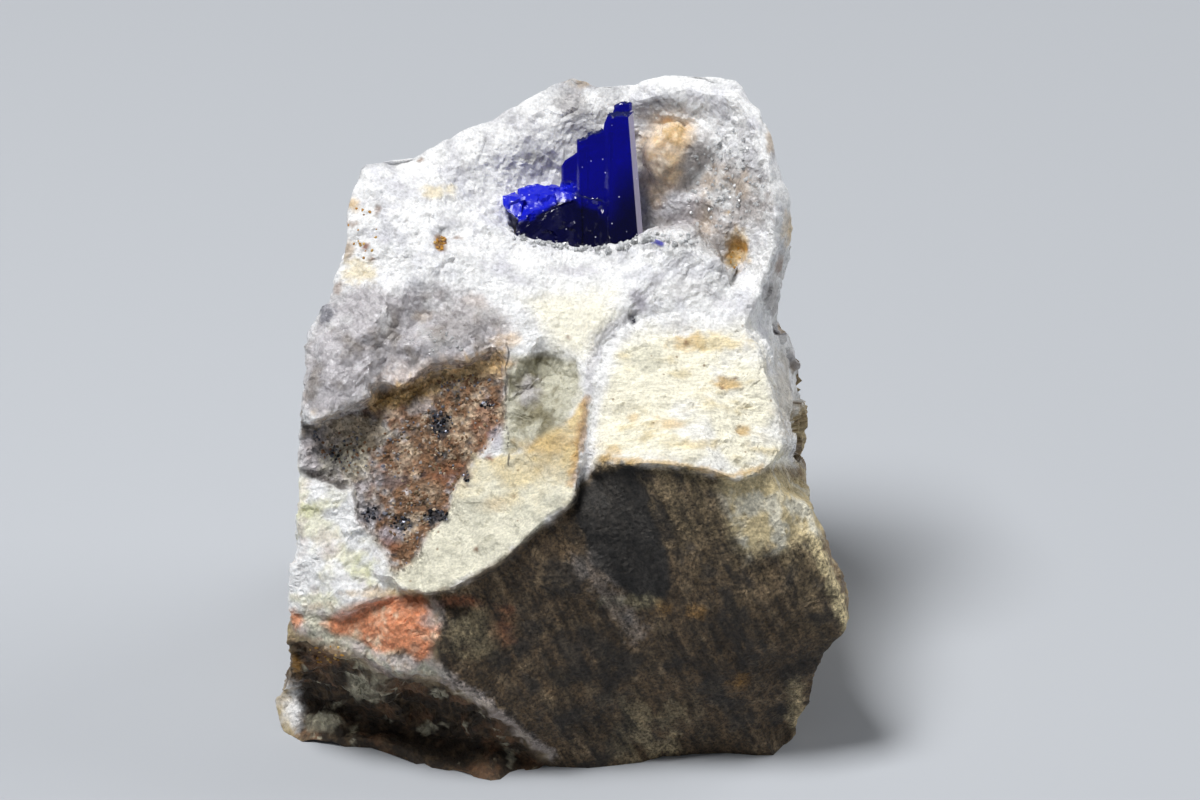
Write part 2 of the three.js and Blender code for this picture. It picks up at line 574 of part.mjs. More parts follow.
// Broken arm on the left: its front is upright and its top slopes back to a ragged tip.
const ARM = [
  [-1.75, 22.3, -0.7], [-1.75, 23.3, -0.7], [-1.2, 23.75, -0.7], [-0.3, 23.95, -0.7], [0.9, 24.4, -0.7],
  [0.9, 21.6, -0.7], [-1.2, 21.8, -0.7],
  [-1.9, 24.0, -1.9], [-1.75, 24.85, -1.9], [-1.1, 25.0, -1.9], [-0.4, 24.85, -1.9], [0.9, 24.7, -1.9],
  [-1.6, 22.4, -2.4], [0.9, 21.8, -2.4], [0.9, 24.5, -2.4], [-1.4, 24.4, -2.4],
];
const ARM_TIP = [
  [-2.4, 24.05, -1.1], [-2.45, 24.5, -1.5], [-1.9, 24.65, -1.9], [-2.2, 23.8, -1.6], [-1.7, 23.4, -0.8],
  [-1.5, 24.4, -1.0], [-1.6, 23.6, -2.1],
];

function blade({ outline, back, front, chamfer }, grow) {
  const shape = new THREE.Shape(outline.map(([across, up]) => new THREE.Vector2(across, up)));
  const geometry = new THREE.ExtrudeGeometry(shape, {
    depth: front - back - 2 * chamfer + 2 * grow,
    bevelEnabled: true,
    bevelSegments: 1,
    bevelThickness: chamfer,
    bevelSize: chamfer,
    bevelOffset: grow - chamfer,
  });
  return geometry.translate(0, 0, back + chamfer - grow);
}

// A broken lump with its corners pushed out from its middle by grow.
function hullOf(corners, grow) {
  const points = corners.map((corner) => new THREE.Vector3(...corner));
  const middle = points.reduce((sum, p) => sum.add(p), new THREE.Vector3()).divideScalar(points.length);
  const away = (p) => p.clone().sub(middle).setLength(grow * Math.sqrt(3));
  return new ConvexGeometry(points.map((p) => p.clone().add(away(p))));
}

function linarite(grow = 0) {
  return joined([...BLADES.map((b) => blade(b, grow)), hullOf(ARM, grow), hullOf(ARM_TIP, grow)]);
}

// Assembly: the face leans back, the base is trimmed flat and the crystal gets its socket.
const TRIM_SIZE = 60;
const QUARTZ_LOOK = { color: QUARTZ_COLOUR, roughness: 0.7, metalness: 0 };
const LINARITE_LOOK = { color: LINARITE_COLOUR, roughness: 0.15, metalness: 0 };

function upright(solid) {
  return geometryOfSolid(solid).rotateX(THREE.MathUtils.degToRad(90 - FACE_LEAN));
}

// The rock in one piece: chips that the cuts set loose are dropped.
function quartzMatrix() {
  const net = rockNet();
  const { points, faces } = refine(net);
  const rock = solidOf(geometryOf(roughen(points), faces));
  const grown = quartzPoints(net.front).reduce((all, point) => all.add(solidOf(point)), rock);
  const trim = new THREE.BoxGeometry(TRIM_SIZE, TRIM_SIZE, TRIM_SIZE).translate(0, 0, -TRIM_SIZE / 2);
  const whole = solidOf(upright(grown.subtract(linarite(SOCKET_GAP)))).subtract(solidOf(trim));
  return whole.decompose().reduce((big, body) => (body.volume() > big.volume() ? body : big));
}

function mesh(name, geometry, look) {
  const made = new THREE.Mesh(geometry, new THREE.MeshStandardMaterial(look));
  made.name = name;
  return made;
}

const specimen = new THREE.Group();
specimen.add(
  mesh("quartz_matrix", geometryOfSolid(quartzMatrix()), QUARTZ_LOOK),
  mesh("linarite_crystal", upright(linarite()), LINARITE_LOOK),
);

// The origin is under the middle of the specimen, on the surface that it stands on.
const box = new THREE.Box3().setFromObject(specimen);
specimen.position.set(-(box.min.x + box.max.x) / 2, -(box.min.y + box.max.y) / 2, -box.min.z);

const part = new THREE.Group();
part.add(specimen);

export default part;
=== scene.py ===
import math
import random

import bmesh
import bpy
import numpy as np
from mathutils import Matrix, Vector, noise
from mathutils.bvhtree import BVHTree


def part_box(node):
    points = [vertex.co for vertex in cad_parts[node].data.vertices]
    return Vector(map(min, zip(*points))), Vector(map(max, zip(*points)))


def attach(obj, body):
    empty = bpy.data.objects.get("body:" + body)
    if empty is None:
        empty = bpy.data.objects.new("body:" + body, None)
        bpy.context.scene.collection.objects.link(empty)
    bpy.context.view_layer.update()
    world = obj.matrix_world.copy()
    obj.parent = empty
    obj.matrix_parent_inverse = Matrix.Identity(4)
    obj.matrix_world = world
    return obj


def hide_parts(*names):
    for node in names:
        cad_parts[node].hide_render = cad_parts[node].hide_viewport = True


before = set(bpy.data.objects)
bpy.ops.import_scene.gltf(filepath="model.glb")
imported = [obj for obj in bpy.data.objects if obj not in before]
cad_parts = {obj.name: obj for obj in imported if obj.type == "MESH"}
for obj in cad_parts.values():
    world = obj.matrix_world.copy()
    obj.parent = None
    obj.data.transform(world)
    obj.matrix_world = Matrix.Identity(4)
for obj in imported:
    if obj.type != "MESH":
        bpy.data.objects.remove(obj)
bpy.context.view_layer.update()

# The rock: a broken block of vein quartz on altered, iron-stained wall rock.
# It formed as one piece, was broken out of the vein and trimmed flat underneath.
# Its display face leans back, so places on it are given across it, up it and proud of it, in mm.
MM = 0.001
FACE_LEAN = math.radians(30)
CRYSTAL_LEFT, CRYSTAL_FRONT = -2.45, 11.406  # where the blue crystal starts, from the foot of the face
crystal_low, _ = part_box("linarite_crystal")
face_x = crystal_low.x / MM - CRYSTAL_LEFT
face_y = crystal_low.y / MM - CRYSTAL_FRONT


def face_places(points):
    """Places across, up and proud of the display face, in mm, of points in metres."""
    x = points[:, 0] / MM - face_x
    y = points[:, 1] / MM - face_y
    z = points[:, 2] / MM
    up = y * math.sin(FACE_LEAN) + z * math.cos(FACE_LEAN)
    proud = z * math.sin(FACE_LEAN) - y * math.cos(FACE_LEAN)
    return np.stack([x, up, proud], axis=1)


def from_face(across, up, proud):
    """The point, in metres, at a place on the display face."""
    y = up * math.sin(FACE_LEAN) - proud * math.cos(FACE_LEAN)
    z = up * math.cos(FACE_LEAN) + proud * math.sin(FACE_LEAN)
    return Vector((across + face_x, y + face_y, z)) * MM


def to_line(line):
    """How far each place lies from a line on the face, in mm."""
    across, up = places[:, 0], places[:, 1]
    nearest = np.full(len(places), 1e9)
    for (x0, y0), (x1, y1) in zip(line, line[1:]):
        share = ((across - x0) * (x1 - x0) + (up - y0) * (y1 - y0)) / ((x1 - x0) ** 2 + (y1 - y0) ** 2)
        share = np.clip(share, 0, 1)
        nearest = np.minimum(nearest, np.hypot(across - x0 - share * (x1 - x0), up - y0 - share * (y1 - y0)))
    return nearest


# Fine facets on the display face, coarser ones on the sides and the back. The flat base is left as it is.
FRONT_FACET, SIDE_FACET = 0.17 * MM, 0.28 * MM
SIDE_STARTS = -5.0  # this far behind the face, in mm
BASE_HEIGHT = 0.03 * MM
SAME_PLACE = 0.00002 * MM
MOST_CUTS = 8


def cut_long_edges(mesh, front_facet, side_facet):
    """Cuts the edges of a mesh until its facets have about the sizes given, in metres."""
    for _ in range(MOST_CUTS):
        edges = [e for e in mesh.edges if max(v.co.z for f in e.link_faces for v in f.verts) > BASE_HEIGHT]
        middles = np.array([(e.verts[0].co + e.verts[1].co) / 2 for e in edges])
        facets = np.where(face_places(middles)[:, 2] > SIDE_STARTS, front_facet, side_facet)
        long_edges = [e for e, facet in zip(edges, facets) if e.calc_length() > math.sqrt(2) * facet]
        if not long_edges:
            break
        bmesh.ops.subdivide_edges(mesh, edges=long_edges, cuts=1, use_grid_fill=True, use_single_edge=True)
        bmesh.ops.triangulate(mesh, faces=[f for f in mesh.faces if len(f.verts) > 3])


def wear(mesh, verts, times):
    """Rounds a part of a mesh, a little each time."""
    for _ in range(times):
        bmesh.ops.smooth_vert(
            mesh, verts=verts, factor=0.5, use_axis_x=True, use_axis_y=True, use_axis_z=True,
        )


rock = bmesh.new()
rock.from_mesh(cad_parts["quartz_matrix"].data)
bmesh.ops.remove_doubles(rock, verts=rock.verts, dist=SAME_PLACE)
cut_long_edges(rock, FRONT_FACET, SIDE_FACET)
ROUNDINGS = 2
wear(rock, [v for v in rock.verts if v.co.z > BASE_HEIGHT], ROUNDINGS)

# A thin sheet of quartz ends in a torn edge on the face, where the step is worn low and round.
TORN_EDGE = [(4.2, 21.0), (3.0, 19.5), (2.2, 18.95), (1.6, 18.3), (1.3, 17.4), (1.1, 16.1), (0.9, 14.5)]
TORN_WEAR, TORN_TIMES = 1.1, 24  # reach of the wear, in mm, and how often it is smoothed
rock.verts.ensure_lookup_table()
places = face_places(np.array([v.co for v in rock.verts]))
torn = np.flatnonzero((to_line(TORN_EDGE) < TORN_WEAR) & (places[:, 2] > SIDE_STARTS))
wear(rock, [rock.verts[i] for i in torn], TORN_TIMES)

# In the vug the quartz points have grown into one another.
VUG_MIDDLE, VUG_REACH = (5.9, 24.6), (2.6, 2.9)  # in mm
VUG_TIMES = 50
from_vug = np.hypot(*((places[:, :2] - VUG_MIDDLE) / VUG_REACH).T)
grown = np.flatnonzero((from_vug < 1) & (places[:, 2] > SIDE_STARTS))
wear(rock, [rock.verts[i] for i in grown], VUG_TIMES)
rock.verts.ensure_lookup_table()
rock.normal_update()
points = np.array([v.co for v in rock.verts])
normals = np.array([v.normal for v in rock.verts])
places = face_places(points)

# Areas of the display face: how softly each one ends, in mm, and its outline across and up the face.
AREAS = {
    "wall_rock": (0.3, [
        (-13, 7.4), (-9.4, 7.2), (-6.5, 8.1), (-4.5, 8.2), (-1.4, 10.3), (0.6, 11.9), (1.6, 13.4),
        (4.7, 13.3), (7.2, 12.7), (8.3, 13.2), (13, 13.4), (13, -3), (-13, -3),
    ]),
    "grey_quartz": (0.5, [
        (-10.7, 16.0), (-10.2, 15.1), (-9.75, 15.0), (-9.0, 15.5), (-7.7, 16.2), (-7.4, 16.6),
        (-6.6, 16.6), (-5.3, 17.3), (-3.75, 17.5), (-2.2, 18.1), (-2.0, 19.0), (-3.3, 20.1), (-5.4, 20.7),
        (-6.7, 20.5), (-8.3, 20.7), (-9.6, 20.1), (-10.3, 18.4),
    ]),
    "brown_pocket": (0.25, [
        (-10.8, 14.25), (-10.2, 15.0), (-9.0, 15.4), (-7.7, 16.1), (-6.6, 16.75), (-5.3, 17.45),
        (-3.75, 17.7), (-2.2, 18.2), (-2.2, 14.9), (-3.3, 13.5), (-4.25, 12.0), (-4.4, 11.1),
        (-5.0, 10.4), (-5.5, 10.1), (-5.6, 9.4), (-6.1, 8.9), (-6.9, 8.6), (-7.2, 9.5), (-7.8, 10.2),
        (-8.5, 10.9), (-8.6, 12.1), (-9.7, 12.4), (-10.8, 13.0),
    ]),
    "green_pit": (0.25, [
        (-2.1, 17.9), (-0.8, 17.75), (0.7, 17.6), (1.1, 16.2), (0.3, 14.9), (-1.3, 13.8), (-2.3, 13.5),
    ]),
    "fin": (0.14, [
        (-2.3, 13.6), (-1.4, 14.0), (0.1, 14.9), (1.0, 16.0), (1.1, 15.8), (0.9, 14.2), (0.6, 12.5),
        (0.5, 11.7), (-0.6, 10.9), (-1.4, 10.2), (-2.4, 9.4), (-3.5, 8.75), (-4.5, 8.25), (-5.3, 8.0),
        (-6.4, 8.2), (-7.1, 8.5), (-6.3, 9.0), (-5.8, 9.5), (-5.2, 10.5), (-4.6, 11.2), (-4.45, 12.1),
        (-3.5, 13.6),
    ]),
    "thin_sheet": (0.2, [
        (3.4, 19.7), (2.7, 18.7), (2.2, 17.8), (1.9, 16.8), (1.6, 15.4), (1.3, 14.2), (1.2, 16.1),
        (1.4, 17.4), (1.7, 18.4), (2.5, 19.3),
    ]),
    "cream_block": (0.6, [
        (2.0, 18.0), (3.3, 18.7), (5.4, 19.0), (7.7, 19.0), (8.3, 17.8), (8.7, 16.1), (9.2, 14.25),
        (9.7, 13.2), (8.3, 13.2), (7.2, 12.75), (6.5, 13.0), (4.7, 13.3), (3.3, 13.4), (1.9, 13.6),
        (1.5, 13.3), (1.5, 15.2), (1.6, 16.6),
    ]),
    "front_face": (0.2, [
        (1.5, 13.2), (1.9, 13.5), (2.7, 13.4), (4.7, 13.2), (6.5, 12.9), (7.2, 12.6), (8.3, 13.1),
        (9.7, 13.1), (10.6, 11.2), (11.2, 9.1), (12.2, 7.0), (12.2, 6.1), (11.4, 5.1), (10.8, 3.4),
        (10.4, 1.0), (9, -1), (5, -1), (0, -0.9), (-0.5, 1.2), (-1.3, 1.8), (-2.1, 2.5), (-3.0, 3.2),
        (-4.2, 4.0), (-4.8, 4.4), (-5.1, 5.3), (-5.0, 7.1), (-5.3, 7.9), (-4.5, 8.1), (-2.4, 9.3),
        (-1.4, 10.1), (-0.6, 10.8), (0.5, 11.6), (0.8, 12.3),
    ]),
    "dark_facet": (0.12, [
        (0.5, 11.7), (1.5, 12.9), (3.1, 13.3), (3.75, 11.75), (4.6, 9.0), (4.4, 7.6), (3.2, 7.7),
        (1.25, 9.25),
    ]),
    "dark_band": (0.9, [
        (4.5, 7.3), (7.5, 6.7), (11.7, 6.9), (11.6, 5.6), (10.5, 4.4), (7.5, 4.2), (5.4, 4.6), (3.8, 5.6),
    ]),
    "tan_patch": (0.7, [(2.2, 3.5), (5.4, 3.4), (5.6, 1.2), (4.2, 0.4), (2.3, 1.0)]),
    "chip": (0.5, [
        (6.7, 12.7), (7.2, 12.6), (8.3, 13.1), (10.2, 12.6), (11.0, 10.5), (10.0, 10.25), (9.2, 9.75),
        (8.5, 9.95), (7.8, 9.5), (7.0, 10.4), (6.7, 12.2),
    ]),
    "red_patch": (0.16, [
        (-9.8, 6.7), (-8.96, 7.3), (-7.6, 7.75), (-6.7, 7.85), (-5.75, 7.75), (-5.3, 7.3), (-5.0, 6.6),
        (-5.2, 6.0), (-5.2, 5.4), (-5.7, 5.25), (-6.3, 5.5), (-7.0, 5.4), (-7.6, 5.6), (-8.5, 6.2),
        (-9.4, 6.2),
    ]),
    "pale_quartz": (0.5, [
        (-12.5, 13.0), (-10.8, 13.0), (-9.7, 12.3), (-8.6, 12.0), (-8.5, 10.8), (-7.8, 10.1), (-6.9, 8.6),
        (-6.7, 8.1), (-8.3, 7.7), (-9.4, 7.2), (-12.5, 7.2),
    ]),
    "pale_rim": (0.25, [
        (-10.9, 7.2), (-9.8, 7.2), (-9.4, 6.3), (-8.5, 6.1), (-7.6, 5.6), (-6.3, 5.4), (-5.4, 5.2),
        (-4.6, 4.5), (-6.7, 4.5), (-7.6, 4.8), (-8.4, 5.3), (-9.4, 5.7), (-10.4, 6.1), (-11.0, 6.5),
    ]),
    "hollow": (0.35, [
        (-11.2, 5.9), (-10.6, 5.9), (-9.2, 5.2), (-8.3, 5.2), (-7.7, 4.75), (-5.7, 4.25), (-4.8, 4.2),
        (-4.2, 3.75), (-3.0, 3.0), (-2.1, 2.25), (-1.3, 1.6), (-0.5, 0.0), (-0.8, -2.5), (-6.0, -2.5),
        (-10.8, -1.5), (-11.2, 3.0),
    ]),
    "vug": (0.6, [
        (3.5, 27.4), (5.4, 27.6), (6.2, 26.9), (6.7, 26.0), (8.0, 25.6), (8.7, 24.6), (8.4, 23.4),
        (7.7, 23.2), (7.3, 22.4), (7.0, 21.4), (6.5, 22.0), (5.8, 22.6), (5.0, 23.0), (4.0, 22.7),
        (3.7, 25.1),
    ]),
    "peach_lump": (0.35, [
        (3.3, 27.3), (4.2, 27.9), (5.0, 27.8), (5.6, 27.5), (5.55, 26.9), (5.2, 26.2), (4.9, 25.3),
        (4.5, 24.6), (3.9, 24.3), (3.5, 25.2),
    ]),
    "smooth_slope": (0.7, [
        (-3.2, 22.2), (-1.6, 22.0), (1.0, 22.0), (3.2, 22.3), (4.0, 21.2), (3.4, 20.0), (2.6, 19.4),
        (1.4, 18.2), (-0.2, 17.8), (-2.2, 18.2), (-2.6, 19.5),
    ]),
    "yellow_tint": (0.6, [
        (-1.5, 20.2), (2.3, 20.5), (2.2, 19.4), (1.4, 18.2), (1.1, 17.6), (-0.2, 18.0),
    ]),
    "far_slope": (1.0, [
        (-6.0, 26.3), (-1.5, 28.9), (1.6, 29.6), (2.0, 27.6), (-0.5, 26.2), (-3.0, 25.0),
    ]),
}


def scaled_places(size, start, stretch):
    """The places as points, counted in lumps of a size in mm, moved and stretched."""
    return [Vector(p) for p in places / (np.array(stretch) * size) + start]


def wander(size, start=0.0, stretch=(1, 1, 1)):
    """Smooth noise at every place, from -1 to 1, with lumps of a size in mm."""
    return np.array([noise.noise(p) for p in scaled_places(size, start, stretch)])


def rubble(size, start=0.0, stretch=(1, 1, 1), octaves=4):
    """Rough noise at every place, about -1 to 1, with lumps of a size in mm and ever smaller ones on them."""
    return np.array([noise.fractal(p, 0.8, 2.0, octaves) for p in scaled_places(size, start, stretch)])


def inside_by(outline):
    """How far each place lies inside an outline, in mm, and negative outside it."""
    across, up = places[:, 0], places[:, 1]
    inside = np.zeros(len(places), bool)
    for (x0, y0), (x1, y1) in zip(outline, outline[1:] + outline[:1]):
        if y0 != y1:
            inside ^= ((y0 > up) != (y1 > up)) & (across < x0 + (up - y0) / (y1 - y0) * (x1 - x0))
    nearest = to_line(outline + outline[:1])
    return np.where(inside, nearest, -nearest)


def ramp(values, low, high):
    """0 below low, 1 above high, and smooth between them."""
    share = np.clip((values - low) / (high - low), 0, 1)
    return share * share * (3 - 2 * share)


# Share of each area at every place. Its edge wanders a little, and it stays on the display face.
EDGE_WANDER = 0.28  # in mm
edge_shift = EDGE_WANDER * rubble(0.9, 3.0)
FLANK_STARTS, FLANK_WHOLE = -3.5, -4.8  # how far behind the face, in mm
on_face = ramp(places[:, 2] + 0.7 * rubble(2.4, 4.0), FLANK_WHOLE, FLANK_STARTS)
area = {}
for name, (softness, outline) in AREAS.items():
    area[name] = on_face * ramp(inside_by(outline) + edge_shift * (0.5 + softness), -softness, softness)
sides = 1 - on_face

# Relief: chipped facets on quartz, grains in the pockets, streaks on the front face and layers in the cream
# block. Each pattern is multiplied by its height in mm.
CHIP_SIZES = ((1.3, 0.09), (0.55, 0.12))  # size in mm, and tilt of the chipped facets
SIDE_CHIP_SIZES = ((3.0, 0.20), (1.3, 0.20), (0.6, 0.11))
GRAIN_SIZE = 0.34


def chips(size, tilt):
    """Height of small flat facets, each with its own tilt, in mm."""
    heights = []
    for p in scaled_places(size, 0, (1, 1, 1)):
        seed = noise.voronoi(p)[1][0]
        lean = noise.cell_vector(seed) * 2 - Vector((1, 1, 1))
        heights.append(tilt * size * lean.dot(p - seed))
    return np.array(heights)


def grains(size):
    """Height of packed round grains, from 0 between them to 1."""
    return np.array([1 - min(1.0, 1.3 * noise.voronoi(p)[0][0]) for p in scaled_places(size, 0, (1, 1, 1))])


STREAK_ANGLE = math.radians(63)  # streaks on the front face fall this steeply to the right
along_streak = places[:, 0] * math.cos(STREAK_ANGLE) - places[:, 1] * math.sin(STREAK_ANGLE)
over_streak = places[:, 0] * math.sin(STREAK_ANGLE) + places[:, 1] * math.cos(STREAK_ANGLE)
streak_places = np.stack([over_streak / 0.45, along_streak / 2.2, places[:, 2] / 1.4], axis=1)
streaks = np.array([noise.fractal(Vector(p), 0.7, 2.0, 4) for p in streak_places])
layers = rubble(0.5, 17.0, (4.0, 1.0, 1.6))
striations = wander(0.16, 18.0, (14.0, 1.0, 2.0))

fine = wander(0.5, 5.0)
finer = wander(0.24, 6.0)
lumps = rubble(1.5, 7.0)
quartz_chips = sum(chips(size, tilt) for size, tilt in CHIP_SIZES)
gritty = area["brown_pocket"] + 0.4 * area["red_patch"] + 0.4 * area["pale_rim"] + 0.7 * area["hollow"]
gritty = np.clip(gritty, 0, 1)
streaky = np.clip(area["front_face"] - 0.7 * area["chip"], 0, 1)
layered = np.clip(area["cream_block"] + 0.8 * area["fin"] + 0.5 * area["chip"], 0, 1)
bare_quartz = np.clip(1 - gritty - streaky - layered - sides - area["hollow"], 0, 1)
calm = np.clip(0.75 * area["smooth_slope"] + 0.6 * area["grey_quartz"] + 0.8 * area["vug"], 0, 1)
chipped = bare_quartz * (1 - calm)
height = chipped * (quartz_chips + 0.03 * lumps)
height += bare_quartz * (0.04 * lumps + 0.03 * finer) + area["smooth_slope"] * 0.018 * striations
height += area["grey_quartz"] * (0.07 * lumps + 0.04 * fine + 0.5 * quartz_chips)
height += area["green_pit"] * 0.12 * rubble(0.9, 43.0)
height += area["vug"] * (0.5 * quartz_chips + 0.03 * lumps)
height += sides * (sum(chips(size, tilt) for size, tilt in SIDE_CHIP_SIZES) + 0.07 * lumps)
height += gritty * (0.13 * grains(GRAIN_SIZE) + 0.07 * lumps + 0.03 * finer)
height += streaky * (0.05 * streaks + 0.04 * lumps + 0.02 * finer)
height += layered * (0.08 * layers + 0.05 * lumps + 0.02 * finer + chips(0.8, 0.10))
height += area["hollow"] * (0.30 * rubble(1.0, 41.0) + 0.9 * quartz_chips)

# Broken grains: every vertex stands a little in or out, least on the smooth grey quartz.
GRAIN_STEP = 0.026  # in mm
clear_quartz = np.clip(area["grey_quartz"] + area["vug"] + area["peach_lump"], 0, 1)
grain_step = np.random.default_rng(11).uniform(-1, 1, len(places))
height += GRAIN_STEP * grain_step * (1 - 0.5 * clear_quartz) * (1 - 0.5 * layered)

# Single lumps (above 0) and pits (below 0): place across and up, half width, half height, and relief, in mm.
MOUNDS = [
    (-8.05, 4.05, 0.95, 0.75, 0.30), (-9.95, 2.4, 0.8, 0.4, 0.28), (-10.2, 6.6, 0.7, 0.45, 0.16),
    (7.35, 22.1, 0.35, 0.6, -0.20), (-4.95, 22.5, 0.3, 0.35, -0.16), (-1.3, 16.3, 0.55, 0.5, 0.25),
    (-1.5, 15.2, 0.5, 0.35, -0.22), (-4.9, 14.9, 0.5, 0.55, -0.20), (-9.9, 12.75, 0.9, 0.22, -0.30),
    (-7.3, 16.3, 0.5, 0.3, -0.12), (7.0, 16.6, 0.4, 0.2, -0.10), (7.5, 14.7, 0.25, 0.2, -0.10),
    (3.1, 19.3, 0.3, 0.3, -0.16), (-6.4, 10.8, 0.9, 0.4, -0.15), (-8.9, 22.2, 0.5, 1.0, -0.12),
]


def blob(across, up, half_width, half_height, fray=0.5):
    """Share of a round spot with a frayed edge at every place."""
    reach = np.hypot((places[:, 0] - across) / half_width, (places[:, 1] - up) / half_height)
    return on_face * ramp(1.0 - reach + fray * (fine + finer + 0.8 * lumps), -0.35, 0.55)


for across, up, half_width, half_height, relief in MOUNDS:
    height += relief * blob(across, up, half_width, half_height, 0.15)
height *= ramp(points[:, 2], 0.0, 1.0 * MM)
points += normals * height[:, None] * MM
points[:, 2] = np.maximum(points[:, 2], 0)
for v, p in zip(rock.verts, points):
    v.co = p

# The thin upper rim of the rock is worn, and only the peach quartz is smooth.
TOP_RIM = [
    (-9.0, 23.0), (-8.3, 25.8), (-6.3, 26.0), (-4.6, 27.0), (-2.5, 28.1), (-0.6, 29.0), (0.6, 29.5),
    (1.6, 29.2), (3.3, 29.4), (4.5, 29.7), (6.2, 29.6), (7.4, 29.5), (8.5, 28.1), (9.2, 25.9),
    (9.9, 23.7),
]
RIM_WEAR, RIM_TIMES = 0.55, 2  # reach of the wear, in mm, and how often it is smoothed
worn = [rock.verts[i] for i in np.flatnonzero((to_line(TOP_RIM) < RIM_WEAR) & (places[:, 2] > SIDE_STARTS))]
wear(rock, worn, RIM_TIMES)
peach = area["peach_lump"]
SMOOTH_ABOVE = 1.5  # summed over the three corners of a facet
for face in rock.faces:
    face.smooth = sum(peach[v.index] for v in face.verts) > SMOOTH_ABOVE


# Colours of the rock, as they look in white light, with some painted light and shade among them.
def paint(red, green, blue):
    """A colour of 0 to 255 as the linear light that the shader takes."""
    share = np.array([red, green, blue]) / 255
    return np.where(share <= 0.04045, share / 12.92, ((share + 0.055) / 1.055) ** 2.4)


MILKY, MILKY_SHADE, LILAC = paint(243, 243, 243), paint(222, 222, 226), paint(168, 164, 176)
GREY, GREY_DEEP = paint(194, 190, 193), paint(154, 147, 143)
RUST, RUST_RED, TAN = paint(128, 94, 66), paint(134, 78, 50), paint(192, 170, 144)
BLUE_BLACK, STEEL = paint(44, 46, 52), paint(104, 106, 118)
CREAM, CREAM_STAIN, OCHRE = paint(244, 239, 218), paint(230, 212, 166), paint(206, 168, 98)
FIN_CREAM = paint(230, 226, 206)
GOLD = paint(186, 134, 48)
OLIVE, OLIVE_PALE = paint(134, 127, 100), paint(202, 199, 180)
UMBER, UMBER_PALE, SLATE = paint(98, 80, 58), paint(142, 122, 94), paint(47, 45, 43)
SAND = paint(186, 168, 130)
BRICK, BRICK_PALE, PINK = paint(222, 146, 104), paint(240, 210, 180), paint(218, 206, 200)
STRAW, STRAW_GREEN = paint(236, 234, 214), paint(218, 218, 176)
DARK_BROWN_AND_SHADE, PALE_KHAKI = paint(54, 43, 31), paint(190, 184, 160)
BLUE = paint(36, 40, 176)
VUG_GREY, PEACH, LIMONITE = paint(190, 183, 180), paint(250, 220, 180), paint(220, 184, 116)


def plain(colour):
    """One colour at every place."""
    return np.tile(colour, (len(places), 1))


def blend(first, second, share):
    """Mixes a second colour, or colours, into the colours of every place."""
    return first + (second - first) * share[:, None]


broad = rubble(3.4, 11.0)
middling = rubble(1.1, 12.0)
stain = rubble(1.7, 13.0, (1.6, 1, 1))
peppery = rubble(0.36, 14.0, octaves=3)

tint = blend(plain(MILKY), MILKY_SHADE, ramp(middling + 0.5 * fine, -0.1, 0.7))
tint = blend(tint, LILAC, 0.30 * ramp(rubble(0.7, 19.0, (2.0, 1, 1)), 0.25, 0.8))
wall = blend(plain(UMBER_PALE), SAND, ramp(middling + 0.4 * fine, -0.2, 0.5))
wall = blend(wall, UMBER, ramp(stain, 0.0, 0.5))
tint = blend(tint, wall, area["wall_rock"])
side_wall = blend(plain(SAND), UMBER_PALE, ramp(broad + 0.6 * middling, -0.3, 0.3))
side_wall = blend(side_wall, UMBER, 0.7 * ramp(rubble(2.2, 16.0) + 0.4 * peppery, 0.1, 0.5))
side_wall = blend(side_wall, SLATE, 0.5 * ramp(peppery + 0.5 * stain, 0.2, 0.7))
side_quartz = blend(plain(MILKY), MILKY_SHADE, ramp(middling + 0.5 * fine, -0.1, 0.7))
side_quartz = blend(side_quartz, GREY, 0.7 * ramp(broad + 0.3 * peppery, 0.05, 0.4))
seam = ramp(0.10 - np.abs(rubble(3.2, 26.0, octaves=3)) + 0.04 * peppery, 0.0, 0.08)
side_quartz = blend(side_quartz, OCHRE, 0.5 * seam * ramp(broad, -0.3, 0.3))
side_quartz = blend(side_quartz, RUST, 0.5 * ramp(stain + 0.4 * peppery, 0.45, 0.8))
CONTACT_HEIGHT, CONTACT_RISE = 8.1, 0.35  # in mm at the middle, and its rise to the right
contact = CONTACT_HEIGHT + CONTACT_RISE * places[:, 0] + 2.4 * broad + 1.0 * middling
above_wall = ramp(points[:, 2] / MM - contact, -0.6, 0.6)
tint = blend(tint, blend(side_wall, side_quartz, above_wall), sides)
tint = blend(tint, GREY_DEEP, 0.15 * area["far_slope"] * ramp(middling + 0.6 * peppery, 0.0, 0.7))
tint = blend(tint, CREAM, 0.85 * area["yellow_tint"])

grey = blend(plain(GREY), GREY_DEEP, ramp(middling + 0.4 * fine, 0.0, 0.7))
grey = blend(grey, MILKY, 0.45 * ramp(rubble(1.2, 22.0), 0.1, 0.6))
grey = blend(grey, PINK, 0.5 * ramp(stain, 0.1, 0.6))
tint = blend(tint, grey, area["grey_quartz"])

brown = blend(plain(RUST), TAN, ramp(middling + 0.8 * peppery, -0.15, 0.5))
brown = blend(brown, RUST_RED, 0.6 * ramp(stain + 0.4 * peppery, 0.1, 0.5))
brown = blend(brown, GREY, 0.75 * ramp(peppery + 0.3 * broad, 0.3, 0.65))
brown = blend(brown, STEEL, 0.45 * ramp(-places[:, 0] + 1.5 * middling, 6.2, 9.0))
brown = blend(brown, GREY, 0.75 * ramp(-places[:, 0] + 2.5 * peppery, 7.2, 9.0))
brown = blend(brown, BLUE_BLACK, 0.85 * ramp(rubble(0.5, 21.0, octaves=3), 0.45, 0.7))
tint = blend(tint, brown, area["brown_pocket"])

olive = blend(plain(OLIVE_PALE), OLIVE, ramp(middling + 0.6 * fine, -0.3, 0.5))
tint = blend(tint, olive, area["green_pit"])

